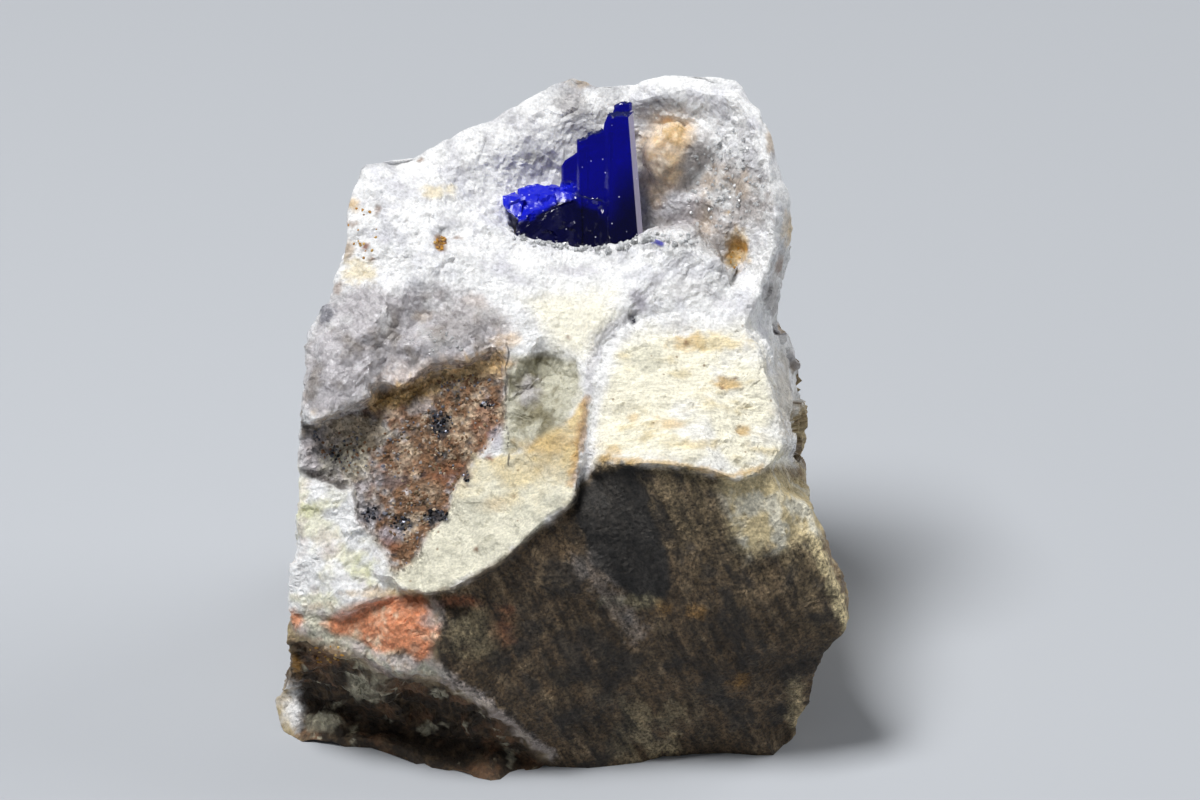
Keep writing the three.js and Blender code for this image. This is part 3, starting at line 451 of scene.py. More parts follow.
fin = blend(plain(FIN_CREAM), CREAM_STAIN, ramp(places[:, 1] + 1.6 * middling, 11.2, 14.6))
fin = blend(fin, OLIVE_PALE, 0.7 * ramp(fine + layers + 0.5 * middling, -0.1, 0.7))
fin = blend(fin, OCHRE, 0.3 * ramp(places[:, 1] + 1.2 * stain, 12.4, 15.0))
tint = blend(tint, fin, area["fin"])

cream = blend(plain(CREAM), CREAM_STAIN, 0.8 * ramp(layers + 0.7 * stain, 0.15, 0.9))
cream = blend(cream, MILKY, 0.6 * ramp(broad, 0.0, 0.4))
cream = blend(cream, OLIVE_PALE, 0.35 * ramp(layers, 0.2, 0.7))
tint = blend(tint, cream, area["cream_block"])
tint = blend(tint, blend(plain(MILKY), STEEL, 0.25 * ramp(peppery, 0.1, 0.6)), 0.9 * area["thin_sheet"])

# Painted shade: the whole front face is painted darker than its stains alone.
FRONT_SHADE = 0.86  # the front face is darker than its stains alone
towards_chip = ramp(0.55 * places[:, 0] + places[:, 1] + 1.5 * middling, 10.0, 18.5)
front = blend(plain(UMBER), SAND, 0.5 * towards_chip)
front = blend(front, UMBER_PALE, 0.8 * ramp(streaks + 0.7 * peppery, 0.0, 0.6))
front = blend(front, SLATE, 0.75 * ramp(rubble(1.6, 23.0) + 0.5 * streaks - 0.5 * towards_chip, 0.0, 0.5))
front = blend(front, DARK_BROWN_AND_SHADE, 0.65 * ramp(rubble(0.45, 24.0) + 0.4 * streaks, 0.2, 0.7))
front = blend(front, SLATE, 0.95 * area["dark_facet"]) * FRONT_SHADE
front = blend(front, DARK_BROWN_AND_SHADE, 0.7 * area["dark_band"] * ramp(peppery + 0.6 * middling, -0.4, 0.4))
front = blend(front, SAND, 0.5 * area["tan_patch"] * ramp(streaks, -0.4, 0.4))
tint = blend(tint, front, area["front_face"])
chip = blend(plain(CREAM_STAIN), CREAM, ramp(middling + 0.5 * streaks, -0.2, 0.4))
tint = blend(tint, chip, 0.8 * area["chip"])

rim = blend(plain(OLIVE_PALE), PINK, ramp(middling, -0.2, 0.3))
rim = blend(rim, TAN, 0.7 * ramp(peppery + 0.5 * fine, 0.1, 0.6))
tint = blend(tint, rim, area["pale_rim"])
red = blend(plain(BRICK), BRICK_PALE, ramp(middling + 0.6 * peppery, 0.0, 0.7))
red = blend(red, RUST_RED, 0.65 * ramp(stain + 0.5 * peppery, 0.15, 0.6))
tint = blend(tint, red, area["red_patch"])
pale = blend(plain(MILKY), STRAW, ramp(stain + 0.4 * fine, -0.1, 0.4))
pale = blend(pale, PINK, 0.5 * ramp(middling, 0.15, 0.6))
tint = blend(tint, pale, area["pale_quartz"])
# Painted shade: the undercut hollow is painted near black-brown, darker than its brown rock, with pale clasts
# in it.
dark = blend(plain(DARK_BROWN_AND_SHADE), RUST, 0.7 * ramp(middling, 0.0, 0.5))
dark = blend(dark, UMBER, 0.8 * ramp(peppery + 0.5 * fine, 0.1, 0.4))
dark = blend(dark, PALE_KHAKI, 0.8 * ramp(rubble(0.9, 31.0) + 0.3 * peppery, 0.50, 0.65))
tint = blend(tint, dark, area["hollow"])

vug = blend(plain(VUG_GREY), MILKY, ramp(rubble(0.9, 33.0), 0.0, 0.5))
vug = blend(vug, GREY_DEEP, 0.45 * ramp(middling, 0.0, 0.5))
tint = blend(tint, vug, 0.9 * area["vug"])
tint = blend(tint, PEACH, (0.55 + 0.45 * ramp(fine, -0.2, 0.5)) * area["peach_lump"])

# Stains, and painted light on the pocket's shaded left: place across and up the face, half width, half
# height, colour and strength.
STAINS_AND_PAINTED_LIGHT = [
    (-8.7, 24.1, 0.25, 0.35, OCHRE, 0.7), (-7.65, 23.9, 0.16, 0.24, RUST, 0.85),
    (-8.75, 23.3, 0.3, 0.2, RUST, 0.7), (-8.1, 22.3, 0.22, 0.18, RUST_RED, 0.9),
    (-7.8, 21.8, 0.16, 0.14, RUST, 0.85), (-8.9, 22.2, 0.25, 0.4, TAN, 0.8),
    (-8.3, 21.2, 0.8, 0.5, CREAM_STAIN, 0.6), (-9.3, 20.6, 0.3, 0.3, RUST, 0.6),
    (-5.9, 25.95, 0.16, 0.12, RUST, 0.8), (-5.2, 24.6, 0.7, 0.28, CREAM_STAIN, 0.6),
    (-1.1, 26.1, 0.5, 0.2, OLIVE, 0.4), (0.95, 29.4, 0.5, 0.3, TAN, 0.9),
    (0.4, 28.5, 0.8, 0.6, GREY_DEEP, 0.5), (4.2, 28.4, 0.7, 0.4, STEEL, 0.4),
    (-6.1, 20.6, 0.7, 0.35, STEEL, 0.3), (-2.9, 23.75, 0.07, 0.07, RUST, 0.9),
    (0.08, 19.0, 0.07, 0.06, RUST, 0.9), (0.35, 18.5, 0.12, 0.07, RUST, 0.8),
    (0.6, 21.3, 0.9, 0.22, LILAC, 0.45), (3.3, 20.0, 0.3, 0.5, LILAC, 0.7),
    (3.05, 19.3, 0.2, 0.22, BLUE_BLACK, 0.8), (5.4, 20.6, 0.9, 0.5, VUG_GREY, 0.2),
    (-4.95, 22.45, 0.3, 0.32, GOLD, 0.95), (-4.85, 22.3, 0.2, 0.14, RUST, 0.9),
    (-4.88, 23.05, 0.22, 0.14, BLUE_BLACK, 0.8), (-4.3, 22.7, 0.2, 0.08, RUST, 0.7),
    (6.1, 23.4, 0.4, 0.7, TAN, 0.5), (4.9, 23.9, 1.0, 0.8, LILAC, 0.35), (6.4, 25.1, 0.7, 0.6, TAN, 0.5),
    (7.5, 24.9, 0.6, 0.5, TAN, 0.5), (7.0, 23.8, 0.12, 0.16, OCHRE, 0.8),
    (4.75, 27.0, 0.4, 0.4, OCHRE, 0.6), (4.2, 26.7, 0.4, 0.3, OCHRE, 0.3),
    (7.45, 22.3, 0.4, 0.8, LIMONITE, 0.7), (7.55, 22.3, 0.3, 0.22, GOLD, 0.85),
    (7.2, 21.9, 0.24, 0.45, OCHRE, 0.8), (7.25, 21.6, 0.2, 0.3, OLIVE, 0.8),
    (8.8, 26.7, 0.16, 0.7, TAN, 0.7), (9.7, 23.0, 0.4, 0.7, LIMONITE, 0.7),
    (9.2, 21.5, 0.25, 0.5, RUST, 0.7), (8.9, 20.3, 0.4, 0.8, GREY_DEEP, 0.6),
    (6.4, 18.35, 1.5, 0.4, CREAM_STAIN, 0.8), (5.3, 18.3, 0.7, 0.4, OCHRE, 0.5),
    (5.25, 18.25, 0.1, 0.08, RUST, 0.95), (7.0, 16.6, 0.6, 0.26, OCHRE, 0.75),
    (7.25, 16.8, 0.14, 0.1, RUST, 0.85), (6.7, 16.4, 0.1, 0.07, RUST, 0.8),
    (7.5, 14.7, 0.36, 0.26, OCHRE, 0.75), (7.4, 14.6, 0.12, 0.1, RUST, 0.85),
    (4.5, 15.0, 0.7, 0.25, OCHRE, 0.55), (3.0, 15.2, 0.3, 0.2, OCHRE, 0.5),
    (5.6, 14.1, 0.9, 0.2, CREAM_STAIN, 0.7), (3.6, 17.6, 0.7, 0.5, OLIVE_PALE, 0.7),
    (2.2, 13.8, 0.4, 0.2, OCHRE, 0.5), (-0.6, 14.1, 1.1, 0.4, OCHRE, 0.4),
    (-1.7, 12.7, 0.7, 0.4, CREAM_STAIN, 0.6), (-2.7, 11.6, 0.6, 0.3, OCHRE, 0.35),
    (-3.2, 11.2, 0.5, 0.6, OLIVE_PALE, 0.6), (-2.9, 13.55, 0.12, 0.1, RUST_RED, 0.9),
    (-3.4, 9.8, 0.12, 0.1, RUST, 0.8), (-1.9, 12.0, 0.08, 0.07, RUST, 0.8),
    (-1.3, 16.3, 0.5, 0.5, GREY, 0.7), (-1.6, 15.2, 0.5, 0.3, OLIVE, 0.8),
    (-1.6, 17.5, 0.6, 0.25, OLIVE, 0.5), (-4.9, 14.9, 0.45, 0.55, BLUE_BLACK, 0.9),
    (-3.06, 15.75, 0.25, 0.2, BLUE_BLACK, 0.85), (-7.8, 11.2, 0.55, 0.45, STEEL, 0.75),
    (-6.6, 10.75, 0.45, 0.3, BLUE_BLACK, 0.85), (-5.1, 11.1, 0.5, 0.3, BLUE_BLACK, 0.9),
    # Partly its own pale grey, partly painted light: these two blobs lift the shade of the lip on the
    # pocket's left.
    (-9.0, 13.6, 0.9, 0.6, PALE_KHAKI, 0.45), (-8.4, 14.7, 1.5, 0.6, PALE_KHAKI, 0.6),
    (-3.85, 12.75, 0.2, 0.25, BLUE_BLACK, 0.9), (-3.2, 15.0, 0.5, 1.0, RUST_RED, 0.5),
    (-4.6, 12.9, 0.9, 0.5, RUST_RED, 0.45), (-6.3, 16.0, 1.0, 0.4, TAN, 0.7),
    (-2.6, 14.3, 0.3, 0.4, LILAC, 0.6), (-9.6, 19.6, 0.45, 0.5, STEEL, 0.7),
    (-10.55, 14.6, 0.25, 0.6, BLUE_BLACK, 0.85), (-2.2, 18.4, 0.6, 0.35, PEACH, 0.5),
    (-5.6, 19.4, 0.6, 0.3, TAN, 0.5), (-3.4, 20.0, 0.5, 0.25, PINK, 0.7),
    (-10.5, 11.3, 0.5, 0.4, STRAW_GREEN, 0.8), (-8.2, 8.9, 0.7, 0.5, STRAW_GREEN, 0.8),
    (-9.6, 10.0, 0.5, 0.6, PINK, 0.5), (-7.3, 7.95, 1.3, 0.2, OCHRE, 0.55),
    (-10.0, 7.35, 0.7, 0.2, TAN, 0.6), (-10.9, 6.8, 0.3, 0.35, BRICK, 0.8),
    (-5.2, 7.0, 0.45, 0.6, PINK, 0.5), (-6.2, 7.5, 0.6, 0.3, RUST_RED, 0.6),
    (-9.9, 5.2, 0.8, 0.5, RUST, 0.7), (-8.05, 4.05, 0.85, 0.65, PALE_KHAKI, 0.85),
    (-9.95, 2.4, 0.7, 0.35, PALE_KHAKI, 0.85), (-11.3, 3.0, 0.5, 1.0, MILKY, 0.8),
    (-11.0, 4.9, 0.2, 0.5, GOLD, 0.6), (-4.0, 7.6, 0.9, 0.3, RUST_RED, 0.6),
    (-2.3, 6.6, 0.6, 1.0, RUST_RED, 0.55), (5.6, 7.2, 0.5, 0.35, GOLD, 0.25),
    (7.5, 4.25, 0.4, 0.3, GOLD, 0.25), (-3.8, 6.4, 0.8, 0.9, OLIVE, 0.4),
    (-4.2, 19.2, 1.6, 0.8, GREY_DEEP, 0.45), (3.2, 7.6, 1.2, 0.3, OLIVE, 0.6),
    (4.3, 7.4, 0.5, 0.3, GOLD, 0.25), (8.6, 8.6, 0.5, 0.9, UMBER, 0.5), (-3.4, 5.6, 0.9, 0.4, SAND, 0.4),
    (9.9, 3.0, 0.4, 1.2, SAND, 0.7), (9.6, 16.5, 0.7, 2.2, SAND, 0.4), (-5.7, 15.6, 0.5, 0.3, GREY, 0.5),
    (-6.4, 14.5, 0.5, 0.4, GREY_DEEP, 0.5), (-7.0, 10.4, 0.5, 0.4, LILAC, 0.5),
    (-6.9, 12.5, 0.6, 0.4, STEEL, 0.4), (-4.9, 16.5, 0.8, 0.3, PINK, 0.5),
    # Partly its own pale grey and tan, partly painted light: the tan blob at the end of this line and the
    # pale blob after it lift the shade of the lip on the pocket's left.
    (-5.4, 12.1, 0.5, 0.4, TAN, 0.4), (-8.9, 14.4, 1.5, 0.9, TAN, 0.6),
    (-8.9, 13.4, 1.1, 0.8, PALE_KHAKI, 0.5), (-3.4, 6.3, 1.2, 1.1, SAND, 0.3),
    (9.2, 23.2, 0.5, 1.2, MILKY, 0.4),
]
for across, up, half_width, half_height, colour, strength in STAINS_AND_PAINTED_LIGHT:
    tint = blend(tint, colour, strength * blob(across, up, half_width, half_height))

# Stains that follow an edge, and painted light along some edges: its line on the face, half width, colour and
# strength.
EDGE_STAINS_AND_PAINTED_LIGHT = [
    (TORN_EDGE, 0.22, LILAC, 0.3),
    # Partly the rock's own pink and ochre, partly painted light: these two bands under the lip above the
    # brown pocket are painted lighter against the shade of the ledge.
    ([(-7.2, 16.6), (-5.3, 17.1), (-3.75, 17.25), (-2.4, 17.8)], 0.55, PINK, 0.7),
    ([(-7.6, 15.8), (-6.5, 16.2), (-5.2, 16.7), (-3.9, 17.1), (-2.5, 17.5)], 0.45, OCHRE, 0.7),
    ([(1.05, 15.9), (0.85, 14.2), (0.55, 12.6)], 0.22, GOLD, 0.55),
    ([(1.7, 13.5), (4.7, 13.35), (7.0, 12.8), (8.4, 13.2)], 0.14, OCHRE, 0.6),
    ([(-5.4, 5.2), (-4.6, 4.4), (-3.0, 3.3), (-1.5, 2.0), (-0.4, 1.1)], 0.24, PINK, 0.5),
    ([(0.96, 9.25), (2.2, 7.6), (3.2, 6.4)], 0.5, GREY_DEEP, 0.3),
    # Partly the cream rock, partly a painted highlight: the lit right rim of the front face is painted cream.
    ([(10.5, 10.0), (11.2, 8.6), (11.9, 6.6)], 0.3, CREAM_STAIN, 0.8),
    ([(-10.7, 13.0), (-9.9, 12.75), (-9.0, 12.3)], 0.18, DARK_BROWN_AND_SHADE, 0.85),
    ([(3.8, 22.6), (4.25, 22.42)], 0.10, BLUE, 0.9),
]
for line, half_width, colour, strength in EDGE_STAINS_AND_PAINTED_LIGHT:
    reach = to_line(line) / half_width
    tint = blend(tint, colour, strength * on_face * ramp(1.0 - reach + 0.9 * peppery, -0.3, 0.6))

# Hairline cracks, kept as the distance to them, so that they stay thin between vertices.
CRACKS = [
    [
        (-2.15, 18.2), (-2.1, 17.8), (-2.22, 17.3), (-2.16, 16.8), (-2.27, 16.2), (-2.2, 15.7), (-2.25, 15.2),
        (-2.12, 14.6), (-2.17, 14.1), (-2.05, 13.5), (-2.13, 12.9), (-2.05, 12.4),
    ],
    [(-4.2, 4.2), (-3.5, 4.5), (-2.9, 4.9), (-2.3, 5.0)],
    [(1.6, 13.4), (2.0, 11.8), (2.2, 10.2)],
]
crack_gap = np.min([to_line(line) for line in CRACKS], axis=0) + 0.05 * fine + 5.0 * sides
glassy = area["grey_quartz"] + 0.9 * area["vug"] + 0.5 * bare_quartz + 0.4 * sides * above_wall
glassy = np.clip(glassy, 0, 1)


def add_numbers(mesh, name, values, on="POINT"):
    """Keeps one number for each vertex of a mesh, or for each face."""
    mesh.attributes.new(name, "FLOAT", on).data.foreach_set("value", values.astype(np.float32))


def add_colours(mesh, name, values):
    """Keeps one colour for each vertex of a mesh."""
    colours = np.concatenate([values, np.ones((len(values), 1))], axis=1).astype(np.float32)
    mesh.attributes.new(name, "FLOAT_COLOR", "POINT").data.foreach_set("color", colours.ravel())


rock_mesh = bpy.data.meshes.new("rock")
rock.to_mesh(rock_mesh)
add_colours(rock_mesh, "tint", np.clip(tint, 0, 1))
for name, values in (("glassy", glassy), ("gritty", gritty), ("streaky", streaky), ("layered", layered)):
    add_numbers(rock_mesh, name, values)
add_numbers(rock_mesh, "crack_gap", crack_gap)
rock_tree = BVHTree.FromBMesh(rock)
rock.free()


def show(name, mesh, finish):
    """Puts a mesh in the scene as a piece of the specimen."""
    piece = bpy.data.objects.new(name, mesh)
    bpy.context.collection.objects.link(piece)
    mesh.materials.append(finish)
    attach(piece, "root")
    return piece


def material(name):
    """A new node material, with its nodes, its links and its main shader."""
    made = bpy.data.materials.new(name)
    made.use_nodes = True
    return made, made.node_tree.nodes, made.node_tree.links, made.node_tree.nodes["Principled BSDF"]


def join(links, value, socket):
    """Links a socket, or sets a fixed value."""
    if isinstance(value, bpy.types.NodeSocket):
        links.new(value, socket)
    else:
        socket.default_value = value


def read_attribute(nodes, name):
    """Reads the numbers or colours that a mesh keeps under a name."""
    node = nodes.new("ShaderNodeAttribute")
    node.attribute_name = name
    return node


def maths(nodes, links, operation, first, second):
    """Works out one number from two, each a socket or a fixed value."""
    node = nodes.new("ShaderNodeMath")
    node.operation = operation
    join(links, first, node.inputs[0])
    join(links, second, node.inputs[1])
    return node.outputs["Value"]


def directed(nodes, links, along, over, length, width):
    """Object coordinates squeezed along a direction, so that noise on them runs that way. Sizes in metres."""
    place = nodes.new("ShaderNodeTexCoord").outputs["Object"]
    combined = nodes.new("ShaderNodeCombineXYZ")
    through = along.cross(over)
    for socket, direction, size in zip("XYZ", (along, over, through), (length, width, width)):
        dot = nodes.new("ShaderNodeVectorMath")
        dot.operation = "DOT_PRODUCT"
        links.new(place, dot.inputs[0])
        dot.inputs[1].default_value = direction / size
        links.new(dot.outputs["Value"], combined.inputs[socket])
    return combined.outputs["Vector"]


def speckle(nodes, links, size=1.0, detail=4.0, roughness=0.6, place=None):
    """Noise with lumps of a size in metres on Object coordinates, or on coordinates of its own."""
    node = nodes.new("ShaderNodeTexNoise")
    node.inputs["Scale"].default_value = 1 / size
    node.inputs["Detail"].default_value = detail
    node.inputs["Roughness"].default_value = roughness
    links.new(place or nodes.new("ShaderNodeTexCoord").outputs["Object"], node.inputs["Vector"])
    return node.outputs["Fac"]


def cells(nodes, links, size):
    """Packed grains of a size in metres: the distance to a grain's middle and its own random colour."""
    node = nodes.new("ShaderNodeTexVoronoi")
    node.inputs["Scale"].default_value = 1 / size
    links.new(nodes.new("ShaderNodeTexCoord").outputs["Object"], node.inputs["Vector"])
    split = nodes.new("ShaderNodeSeparateColor")
    links.new(node.outputs["Color"], split.inputs["Color"])
    return node.outputs["Distance"], split.outputs["Red"], split.outputs["Green"]


def facets(nodes, links, size):
    """Height of small crystal facets of a size in metres, each with a tilt of its own."""
    node = nodes.new("ShaderNodeTexVoronoi")
    node.inputs["Scale"].default_value = 1 / size
    place = nodes.new("ShaderNodeTexCoord").outputs["Object"]
    links.new(place, node.inputs["Vector"])
    offset, lean, dot = [nodes.new("ShaderNodeVectorMath") for _ in range(3)]
    offset.operation, lean.operation, dot.operation = "SUBTRACT", "SUBTRACT", "DOT_PRODUCT"
    links.new(place, offset.inputs[0])
    links.new(node.outputs["Position"], offset.inputs[1])
    links.new(node.outputs["Color"], lean.inputs[0])
    lean.inputs[1].default_value = (0.5, 0.5, 0.5)
    links.new(offset.outputs["Vector"], dot.inputs[0])
    links.new(lean.outputs["Vector"], dot.inputs[1])
    return maths(nodes, links, "DIVIDE", dot.outputs["Value"], size)


def stretch_range(nodes, links, value, low, high, to_low, to_high):
    """Turns a range of a socket's numbers into another range."""
    node = nodes.new("ShaderNodeMapRange")
    for socket, number in zip(("From Min", "From Max", "To Min", "To Max"), (low, high, to_low, to_high)):
        node.inputs[socket].default_value = number
    links.new(value, node.inputs["Value"])
    return node.outputs["Result"]


def mix_colours(nodes, links, kind, share, first, second):
    """Mixes two colour sockets. The share and the second may be a socket or a fixed value."""
    node = nodes.new("ShaderNodeMix")
    node.data_type = "RGBA"
    node.blend_type = kind
    links.new(first, node.inputs["A"])
    join(links, share, node.inputs["Factor"])
    join(links, second, node.inputs["B"])
    return node.outputs["Result"]


rock_finish, nodes, links, shader = material("broken_rock")
glass_share = read_attribute(nodes, "glassy").outputs["Fac"]
grit_share = read_attribute(nodes, "gritty").outputs["Fac"]
streak_share = read_attribute(nodes, "streaky").outputs["Fac"]
layer_share = read_attribute(nodes, "layered").outputs["Fac"]
grain_edge, grain_value, grain_kind = cells(nodes, links, 0.14 * MM)
STREAK_ALONG, STREAK_OVER = Vector((0.42, 0, -0.907)), Vector((0.907, 0, 0.42))
streak_place = directed(nodes, links, STREAK_ALONG, STREAK_OVER, 3.4 * MM, 0.30 * MM)
fibre = speckle(nodes, links, detail=2.5, roughness=0.55, place=streak_place)
layer_place = directed(nodes, links, Vector((1, 0, 0)), Vector((0, 0.707, 0.707)), 0.8 * MM, 0.13 * MM)
layer = speckle(nodes, links, detail=3.0, place=layer_place)
mottle = speckle(nodes, links, 0.5 * MM)
dust = speckle(nodes, links, 0.11 * MM, 2.0)
sand = speckle(nodes, links, 0.13 * MM, 3.0, 0.75)
sugar_value = cells(nodes, links, 0.30 * MM)[1]

colour = read_attribute(nodes, "tint").outputs["Color"]
mottled = stretch_range(nodes, links, mottle, 0.3, 0.7, 0.86, 1.10)
colour = mix_colours(nodes, links, "MULTIPLY", 1.0, colour, mottled)
dusted = stretch_range(nodes, links, dust, 0.35, 0.65, 0.76, 1.12)
colour = mix_colours(nodes, links, "MULTIPLY", 0.8, colour, dusted)
sugared = stretch_range(nodes, links, sugar_value, 0.0, 1.0, 0.84, 1.06)
colour = mix_colours(nodes, links, "MULTIPLY", glass_share, colour, sugared)
grained = stretch_range(nodes, links, grain_value, 0.0, 1.0, 0.45, 1.40)
colour = mix_colours(nodes, links, "MULTIPLY", grit_share, colour, grained)
fibred = stretch_range(nodes, links, fibre, 0.3, 0.7, 0.22, 1.60)
fibre_place = stretch_range(nodes, links, speckle(nodes, links, 2.4 * MM, 2.0), 0.38, 0.62, 0.45, 1.0)
fibre_share = maths(nodes, links, "MULTIPLY", streak_share, fibre_place)
colour = mix_colours(nodes, links, "MULTIPLY", fibre_share, colour, fibred)
patchy = stretch_range(nodes, links, speckle(nodes, links, 1.3 * MM, 3.0), 0.35, 0.65, 0.62, 1.30)
colour = mix_colours(nodes, links, "MULTIPLY", streak_share, colour, patchy)
sandy = stretch_range(nodes, links, sand, 0.36, 0.64, 0.30, 1.55)
colour = mix_colours(nodes, links, "MULTIPLY", streak_share, colour, sandy)
bedded = stretch_range(nodes, links, layer, 0.3, 0.7, 0.78, 1.10)
colour = mix_colours(nodes, links, "MULTIPLY", layer_share, colour, bedded)
speck_gap, speck_chance, _ = cells(nodes, links, 0.55 * MM)
speck = stretch_range(nodes, links, speck_gap, 0.08, 0.14, 0.7, 0.0)
speck = maths(nodes, links, "MULTIPLY", speck, maths(nodes, links, "GREATER_THAN", speck_chance, 0.72))
speck = maths(nodes, links, "MULTIPLY", speck, layer_share)
colour = mix_colours(nodes, links, "MIX", speck, colour, (0.20, 0.12, 0.05, 1))
crack_distance = read_attribute(nodes, "crack_gap").outputs["Fac"]
crack = stretch_range(nodes, links, crack_distance, 0.015, 0.045, 0.75, 0.0)
colour = mix_colours(nodes, links, "MIX", crack, colour, (0.03, 0.025, 0.02, 1))
links.new(colour, shader.inputs["Base Color"])
dull = stretch_range(nodes, links, dust, 0.3, 0.7, 0.70, 0.90)
shiny = stretch_range(nodes, links, grain_kind, 0.0, 1.0, 0.14, 0.50)
polish = nodes.new("ShaderNodeMix")
for socket, value in zip(("Factor", "A", "B"), (glass_share, dull, shiny)):
    links.new(value, polish.inputs[socket])
links.new(polish.outputs["Result"], shader.inputs["Roughness"])

relief = speckle(nodes, links, 0.18 * MM, 5.0)
glints = maths(nodes, links, "MULTIPLY", facets(nodes, links, 0.22 * MM), 1.6)
for share, detail in (
    (glass_share, glints), (grit_share, grain_edge), (streak_share, fibre), (layer_share, layer),
):
    relief = maths(nodes, links, "ADD", relief, maths(nodes, links, "MULTIPLY", share, detail))
bump = nodes.new("ShaderNodeBump")
bump.inputs["Strength"].default_value = 0.9
bump.inputs["Distance"].default_value = 0.06 * MM
links.new(relief, bump.inputs["Height"])
links.new(bump.outputs["Normal"], shader.inputs["Normal"])
links.new(stretch_range(nodes, links, glass_share, 0, 1, 0.05, 0.65), shader.inputs["Subsurface Weight"])
shader.inputs["Subsurface Radius"].default_value = (1.0, 0.95, 0.9)
shader.inputs["Subsurface Scale"].default_value = 0.6 * MM
shader.inputs["IOR"].default_value = 1.54
rock_piece = show("rock", rock_mesh, rock_finish)
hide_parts("quartz_matrix")

# The linarite: a group of parallel deep blue blades, a lead copper sulphate that lets light through.
# The blades grew together in steps and are rooted in a notch of the rock.
# Their ends are finely stepped, and a broken arm of the same crystal lies along the notch to the left.
CRYSTAL_FACET = 0.13 * MM
crystal = bmesh.new()
crystal.from_mesh(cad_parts["linarite_crystal"].data)
bmesh.ops.remove_doubles(crystal, verts=crystal.verts, dist=SAME_PLACE)
cut_long_edges(crystal, CRYSTAL_FACET, CRYSTAL_FACET)
crystal.verts.ensure_lookup_table()
crystal.normal_update()
points = np.array([v.co for v in crystal.verts])
normals = np.array([v.normal for v in crystal.verts])
places = face_places(points)

# The broken arm is lumpy and the blades' ends are stepped. The noise now reads the crystal's own places.
ARM_ENDS, ARM_TOP = 0.9, 25.1  # across and up the face, in mm
FOOT_ENDS, FOOT_TOP = 2.3, 24.75
face_up = np.array(from_face(0, 1, 0) - from_face(0, 0, 0)) / MM
arm = ramp(ARM_ENDS - places[:, 0], 0.0, 0.5)
foot = ramp(FOOT_TOP - places[:, 1], 0.0, 0.3) * ramp(FOOT_ENDS - places[:, 0], 0.0, 0.4)
broken = arm * ramp(ARM_TOP - places[:, 1], 0.0, 0.2)
ends = (1 - arm) * ramp(normals @ face_up, 0.35, 0.7)
height = broken * (0.06 * rubble(0.9, 51.0, octaves=3) + chips(0.7, 0.22))
height += foot * (1 - broken) * (0.03 * rubble(0.9, 51.0, octaves=3) + chips(0.9, 0.08))
height += ends * 0.14 * np.round(3.0 * wander(0.22, 53.0)) / 3
points += normals * height[:, None] * MM

# Below a ragged line the crystal is painted almost black: painted shade over its lower part.
DARK_LINE = [
    (-2.6, 23.5), (-1.2, 23.55), (-0.3, 24.15), (0.35, 24.4), (0.9, 24.05), (1.5, 23.9), (2.1, 23.8),
    (2.5, 24.6), (3.3, 25.4), (4.5, 25.6),
]
line_up = np.interp(places[:, 0], *np.transpose(DARK_LINE))
softness = np.interp(places[:, 0], [1.5, 2.5], [0.12, 1.6])
deep = ramp((line_up - places[:, 1] + 0.22 * rubble(0.5, 55.0)) / softness, -1, 1)

# The straight right side of the tall blade ends in a bevel that catches the light, painted pale there as a
# painted highlight.
BEVEL_STARTS, BEVEL_TOP = 2.45, 28.0  # across and up the face, in mm
BEVEL_FACING = 0.45  # least share of its direction that points to the right
crystal_middles = face_places(np.array([f.calc_center_median() for f in crystal.faces]))
facing_right = np.array([f.normal.x for f in crystal.faces])
on_right = (crystal_middles[:, 0] > BEVEL_STARTS) & (crystal_middles[:, 1] < BEVEL_TOP)
bevel = on_right & (facing_right > BEVEL_FACING)
for v, p in zip(crystal.verts, points):
    v.co = p
crystal_mesh = bpy.data.meshes.new("linarite")
crystal.to_mesh(crystal_mesh)
crystal.free()
for name, values in (("broken", broken), ("ends", ends), ("deep", deep)):
    add_numbers(crystal_mesh, name, values)
add_numbers(crystal_mesh, "bevel", bevel, "FACE")

# Deep blue, paler where it is broken, dark and grainy at the ends, painted almost black below the ragged line
# as painted shade, and painted pale along the bevel as a painted highlight.
DEEP_BLUE, PAINTED_SHADE_BLUE = (0.002, 0.002, 0.36, 1), (0.001, 0.001, 0.05, 1)
BROKEN_BLUE, END_BLUE, BEVEL_HIGHLIGHT_BLUE = (0.012, 0.020, 0.78, 1), (0.02, 0.025, 0.12, 1), (0.52, 0.48, 0.62, 1)
DUST_WHITE = (0.8, 0.82, 0.9, 1)
PASSED_BLUE, ABSORPTION = (0.01, 0.015, 0.98, 1), 12000.0  # per metre of crystal
crystal_finish, nodes, links, shader = material("blue_linarite")
broken_share = read_attribute(nodes, "broken").outputs["Fac"]
end_share = read_attribute(nodes, "ends").outputs["Fac"]
deep_shade_share = read_attribute(nodes, "deep").outputs["Fac"]
bevel_share = read_attribute(nodes, "bevel").outputs["Fac"]
dust_gap, dust_chance, _ = cells(nodes, links, 0.32 * MM)
dust_spot = stretch_range(nodes, links, dust_gap, 0.05, 0.12, 0.8, 0.0)
dust_spot = maths(nodes, links, "MULTIPLY", dust_spot, maths(nodes, links, "GREATER_THAN", dust_chance, 0.5))
blue = nodes.new("ShaderNodeRGB").outputs["Color"]
blue.default_value = DEEP_BLUE
solid = dust_spot
for share, shade, cloud in (
    (broken_share, BROKEN_BLUE, 0.4), (end_share, END_BLUE, 0.5), (deep_shade_share, PAINTED_SHADE_BLUE, 0.0),
    (bevel_share, BEVEL_HIGHLIGHT_BLUE, 0.5), (dust_spot, DUST_WHITE, 0.0),
):
    blue = mix_colours(nodes, links, "MIX", share, blue, shade)
    solid = maths(nodes, links, "MAXIMUM", solid, maths(nodes, links, "MULTIPLY", share, cloud))
links.new(blue, shader.inputs["Base Color"])
